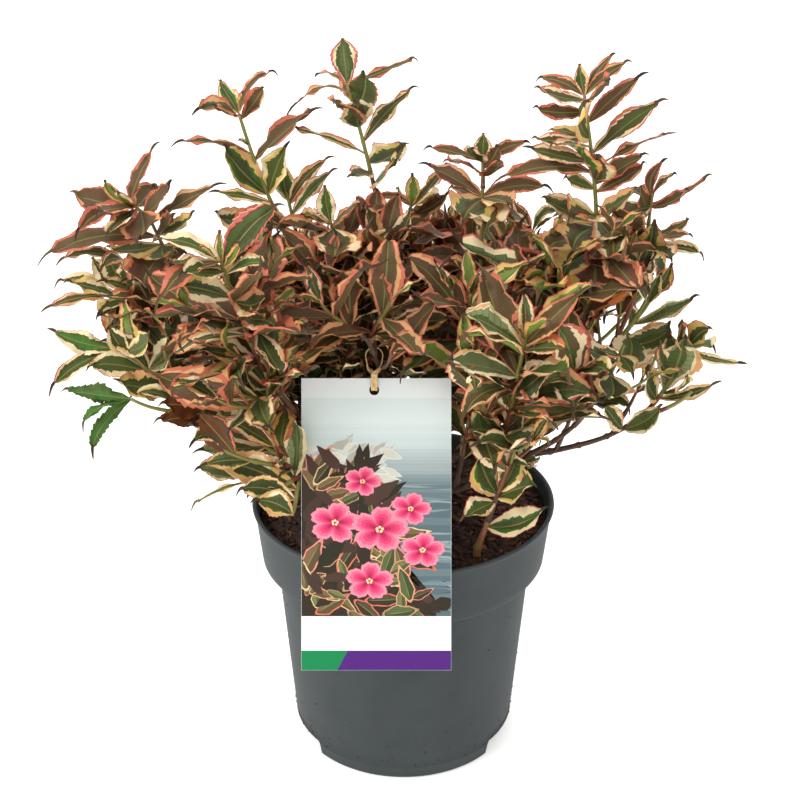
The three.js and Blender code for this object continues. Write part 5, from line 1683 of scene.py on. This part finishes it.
def print_picture(settings):
    """A generic flower print: misty backdrop, edged leaves on the left, open pink flowers."""
    picture = Print()
    random = np.random.default_rng(PICTURE["seed"])
    print_ground(picture, settings, random)
    print_leaves(picture, random)
    shades = [mix(settings.petal, linear(WHITE), share) for share in PALE_LAYERS] + [settings.petal]
    shades += [mix(settings.petal, settings.throat, share) for share in DEEP_LAYERS] + [settings.throat]
    for index, (u, v, size) in enumerate(FLOWERS):
        picture.blossom((u * MM, v * MM), size * MM, index * 1.3, PICTURE["squeeze"], shades)
    edge, white, bottom = CARD["width"] / 2, PICTURE["white"], -CARD["height"]
    picture.band(-edge, edge, PICTURE["foot"], white, linear(BARE_STRIP))
    picture.band(-edge, edge, white, bottom, settings.right_strip)
    picture.band(-edge, -edge + PICTURE["strip"], white, bottom, settings.left_strip, PICTURE["slant"])
    return picture


def card_slab():
    """The card itself, cut square, with its punched hole."""
    half, height = CARD["width"] / 2, CARD["height"]
    angles = even_angles(CARD_SIDES)
    centre = np.array((STRAP_SIDE - CARD["middle"], -CARD["hole_drop"]))
    rays = np.stack((np.cos(angles), np.sin(angles)), axis=1)
    room = np.where(rays > 0, (half - centre[0], -centre[1]), (half + centre[0], height + centre[1]))
    reach = (room / np.maximum(np.abs(rays), TINY)).min(axis=1)
    rim, hole = centre + rays * reach[:, None], centre + rays * CARD["hole_radius"]
    for corner in ((half, 0), (-half, 0), (-half, -height), (half, -height)):
        rim[np.argmin(np.hypot(*(rim - corner).T))] = corner
    back = -CARD["thickness"]
    loops = [on_card(*hole.T), on_card(*rim.T), on_card(*rim.T, back), on_card(*hole.T, back)]
    loops.append(loops[0])
    return np.concatenate(loops), grid_faces(len(loops), CARD_SIDES, closed=True)


def dress_label(settings):
    card = surface("card", "card", settings.card)
    finish_piece(plain_object("label_card", *card_slab(), card, smooth_faces=False), "label", "label")
    picture = print_picture(settings)
    inks = [surface(f"print_{index}", "ink", tone) for index, tone in enumerate(picture.tones)]
    finish_piece(picture.piece("label_print", inks), "label")
    strap = surface("strap_tan", "strap", settings.strap, linear(STRAP_WORN))
    loop = bpy.data.objects["label_strap"]
    loop.data.materials.clear()
    loop.data.materials.append(strap)


# --- stage

LAMPS = {
    "key": {"place": (-1.5, -1.1, 1.7), "size": 1.0, "share": 1.0},
    "fill": {"place": (1.5, -1.0, 1.0), "size": 1.2, "share": 0.08},
    "back": {"place": (0.4, 1.6, 1.6), "size": 1.2, "share": 0.4},
}
AIM = np.array((0.0, 0.0, 0.22))
FLOOR = {"glow": 0.4, "drop": 0.2 * MM}


def dress_world(settings):
    """Even light that falls off from the left to the right."""
    world = bpy.data.worlds.new("studio")
    world.use_nodes = True
    nodes, links = world.node_tree.nodes, world.node_tree.links
    place, split = add_node(nodes, "TexCoord"), add_node(nodes, "SeparateXYZ")
    fall = add_node(nodes, "MapRange", From_Min=-1.0, To_Min=settings.sky_left, To_Max=settings.sky_right)
    links.new(place.outputs["Generated"], split.inputs["Vector"])
    links.new(split.outputs["X"], fall.inputs["Value"])
    nodes["Background"].inputs["Color"].default_value = (1, 1, 1, 1)
    links.new(fall.outputs["Result"], nodes["Background"].inputs["Strength"])
    bpy.context.scene.world = world


def dress_floor(settings):
    """A pale floor that glows a little, so that it stays plain."""
    size = settings.floor_size
    corners = np.array(((-size, -size, 0), (size, -size, 0), (size, size, 0), (-size, size, 0)))
    white = surface("floor_white", "floor", settings.floor)
    shader = white.node_tree.nodes["Principled BSDF"]
    shader.inputs["Emission Color"].default_value = (1, 1, 1, 1)
    shader.inputs["Emission Strength"].default_value = FLOOR["glow"]
    floor = plain_object("floor", corners, np.array(((0, 1, 2, 3),)), white)
    floor.location.z = -FLOOR["drop"]


def dress_stage(settings):
    dress_floor(settings)
    dress_world(settings)
    for name, lamp in LAMPS.items():
        light = bpy.data.lights.new(name, "AREA")
        light.size, light.energy = lamp["size"], settings.key_power * lamp["share"]
        made = bpy.data.objects.new(name, light)
        made.location = lamp["place"]
        made.visible_camera = False
        made.rotation_euler = Vector(AIM - np.array(lamp["place"])).to_track_quat("-Z", "Y").to_euler()
        bpy.context.scene.collection.objects.link(made)
    camera = bpy.data.objects.new("camera", bpy.data.cameras.new("camera"))
    camera.location = CAMERA["place"]
    camera.rotation_euler = (math.radians(90 - CAMERA["look_down"]), 0, 0)
    camera.data.lens, camera.data.sensor_width = CAMERA["lens"], CAMERA["sensor"]
    bpy.context.scene.collection.objects.link(camera)
    bpy.context.scene.camera = camera
    bpy.context.scene.view_settings.view_transform = "Standard"


# --- add-on

def growth_from(settings):
    return whole_growth(settings.node_spacing, settings.twig_length, settings.twig_leaf)


class WEIGELA_OT_leaves(bpy.types.Operator):
    """Grow the leaves on the shoots and twigs"""

    bl_idname = "weigela.leaves"
    bl_label = "Leaves"

    def execute(self, context):
        settings = context.scene.weigela_growth
        leaves = growth_from(settings)[1]
        dress_leaves(leaves, settings.leaf_width, context.scene.weigela_leaf_tones)
        return {"FINISHED"}


class WEIGELA_OT_twigs(bpy.types.Operator):
    """Grow the shoots and twigs"""

    bl_idname = "weigela.twigs"
    bl_label = "Shoots and twigs"

    def execute(self, context):
        settings = context.scene.weigela_growth
        twigs = growth_from(settings)[0]
        dress_twigs(twigs, settings.stem_girth, context.scene.weigela_bark)
        return {"FINISHED"}


class WEIGELA_OT_bark(bpy.types.Operator):
    """Clothe the trunk and boughs in bark"""

    bl_idname = "weigela.bark"
    bl_label = "Trunk and boughs"

    def execute(self, context):
        dress_bark(context.scene.weigela_bark)
        return {"FINISHED"}


class WEIGELA_OT_pot(bpy.types.Operator):
    """Turn the pot"""

    bl_idname = "weigela.pot"
    bl_label = "Pot"

    def execute(self, context):
        dress_pot(context.scene.weigela_pot)
        return {"FINISHED"}


class WEIGELA_OT_soil(bpy.types.Operator):
    """Fill the pot with soil and chips"""

    bl_idname = "weigela.soil"
    bl_label = "Soil"

    def execute(self, context):
        dress_soil(context.scene.weigela_pot)
        return {"FINISHED"}


class WEIGELA_OT_label(bpy.types.Operator):
    """Print the label and colour its strap"""

    bl_idname = "weigela.label"
    bl_label = "Label and strap"

    def execute(self, context):
        dress_label(context.scene.weigela_label)
        return {"FINISHED"}


class WEIGELA_OT_stage(bpy.types.Operator):
    """Set the floor, the light and the camera"""

    bl_idname = "weigela.stage"
    bl_label = "Stage"

    def execute(self, context):
        dress_stage(context.scene.weigela_stage)
        return {"FINISHED"}


SETTINGS = {
    "weigela_growth": WEIGELA_PG_growth,
    "weigela_leaf_tones": WEIGELA_PG_leaf_tones,
    "weigela_bark": WEIGELA_PG_bark,
    "weigela_pot": WEIGELA_PG_pot,
    "weigela_label": WEIGELA_PG_label,
    "weigela_stage": WEIGELA_PG_stage,
}
OPERATORS = (
    WEIGELA_OT_leaves, WEIGELA_OT_twigs, WEIGELA_OT_bark, WEIGELA_OT_pot, WEIGELA_OT_soil, WEIGELA_OT_label,
    WEIGELA_OT_stage,
)


class WEIGELA_PT_panel(bpy.types.Panel):
    """Lists the pieces of the plant and their settings"""

    bl_idname = "WEIGELA_PT_panel"
    bl_label = "Weigela"
    bl_space_type = "VIEW_3D"
    bl_region_type = "UI"
    bl_category = "Weigela"

    def draw(self, context):
        for operator in OPERATORS:
            self.layout.operator(operator.bl_idname)
        for place, group in SETTINGS.items():
            box = self.layout.box()
            box.label(text=group.__doc__)
            for setting in group.__annotations__:
                box.prop(getattr(context.scene, place), setting)


def register():
    for group in (*SETTINGS.values(), *OPERATORS, WEIGELA_PT_panel):
        bpy.utils.register_class(group)
    for place, group in SETTINGS.items():
        setattr(bpy.types.Scene, place, bpy.props.PointerProperty(type=group))


def unregister():
    for place in SETTINGS:
        delattr(bpy.types.Scene, place)
    for group in (WEIGELA_PT_panel, *OPERATORS, *SETTINGS.values()):
        bpy.utils.unregister_class(group)


def main():
    register()
    bpy.ops.weigela.leaves()
    bpy.ops.weigela.twigs()
    bpy.ops.weigela.bark()
    bpy.ops.weigela.pot()
    bpy.ops.weigela.soil()
    bpy.ops.weigela.label()
    bpy.ops.weigela.stage()
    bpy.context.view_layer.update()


if __name__ == "__main__":
    main()
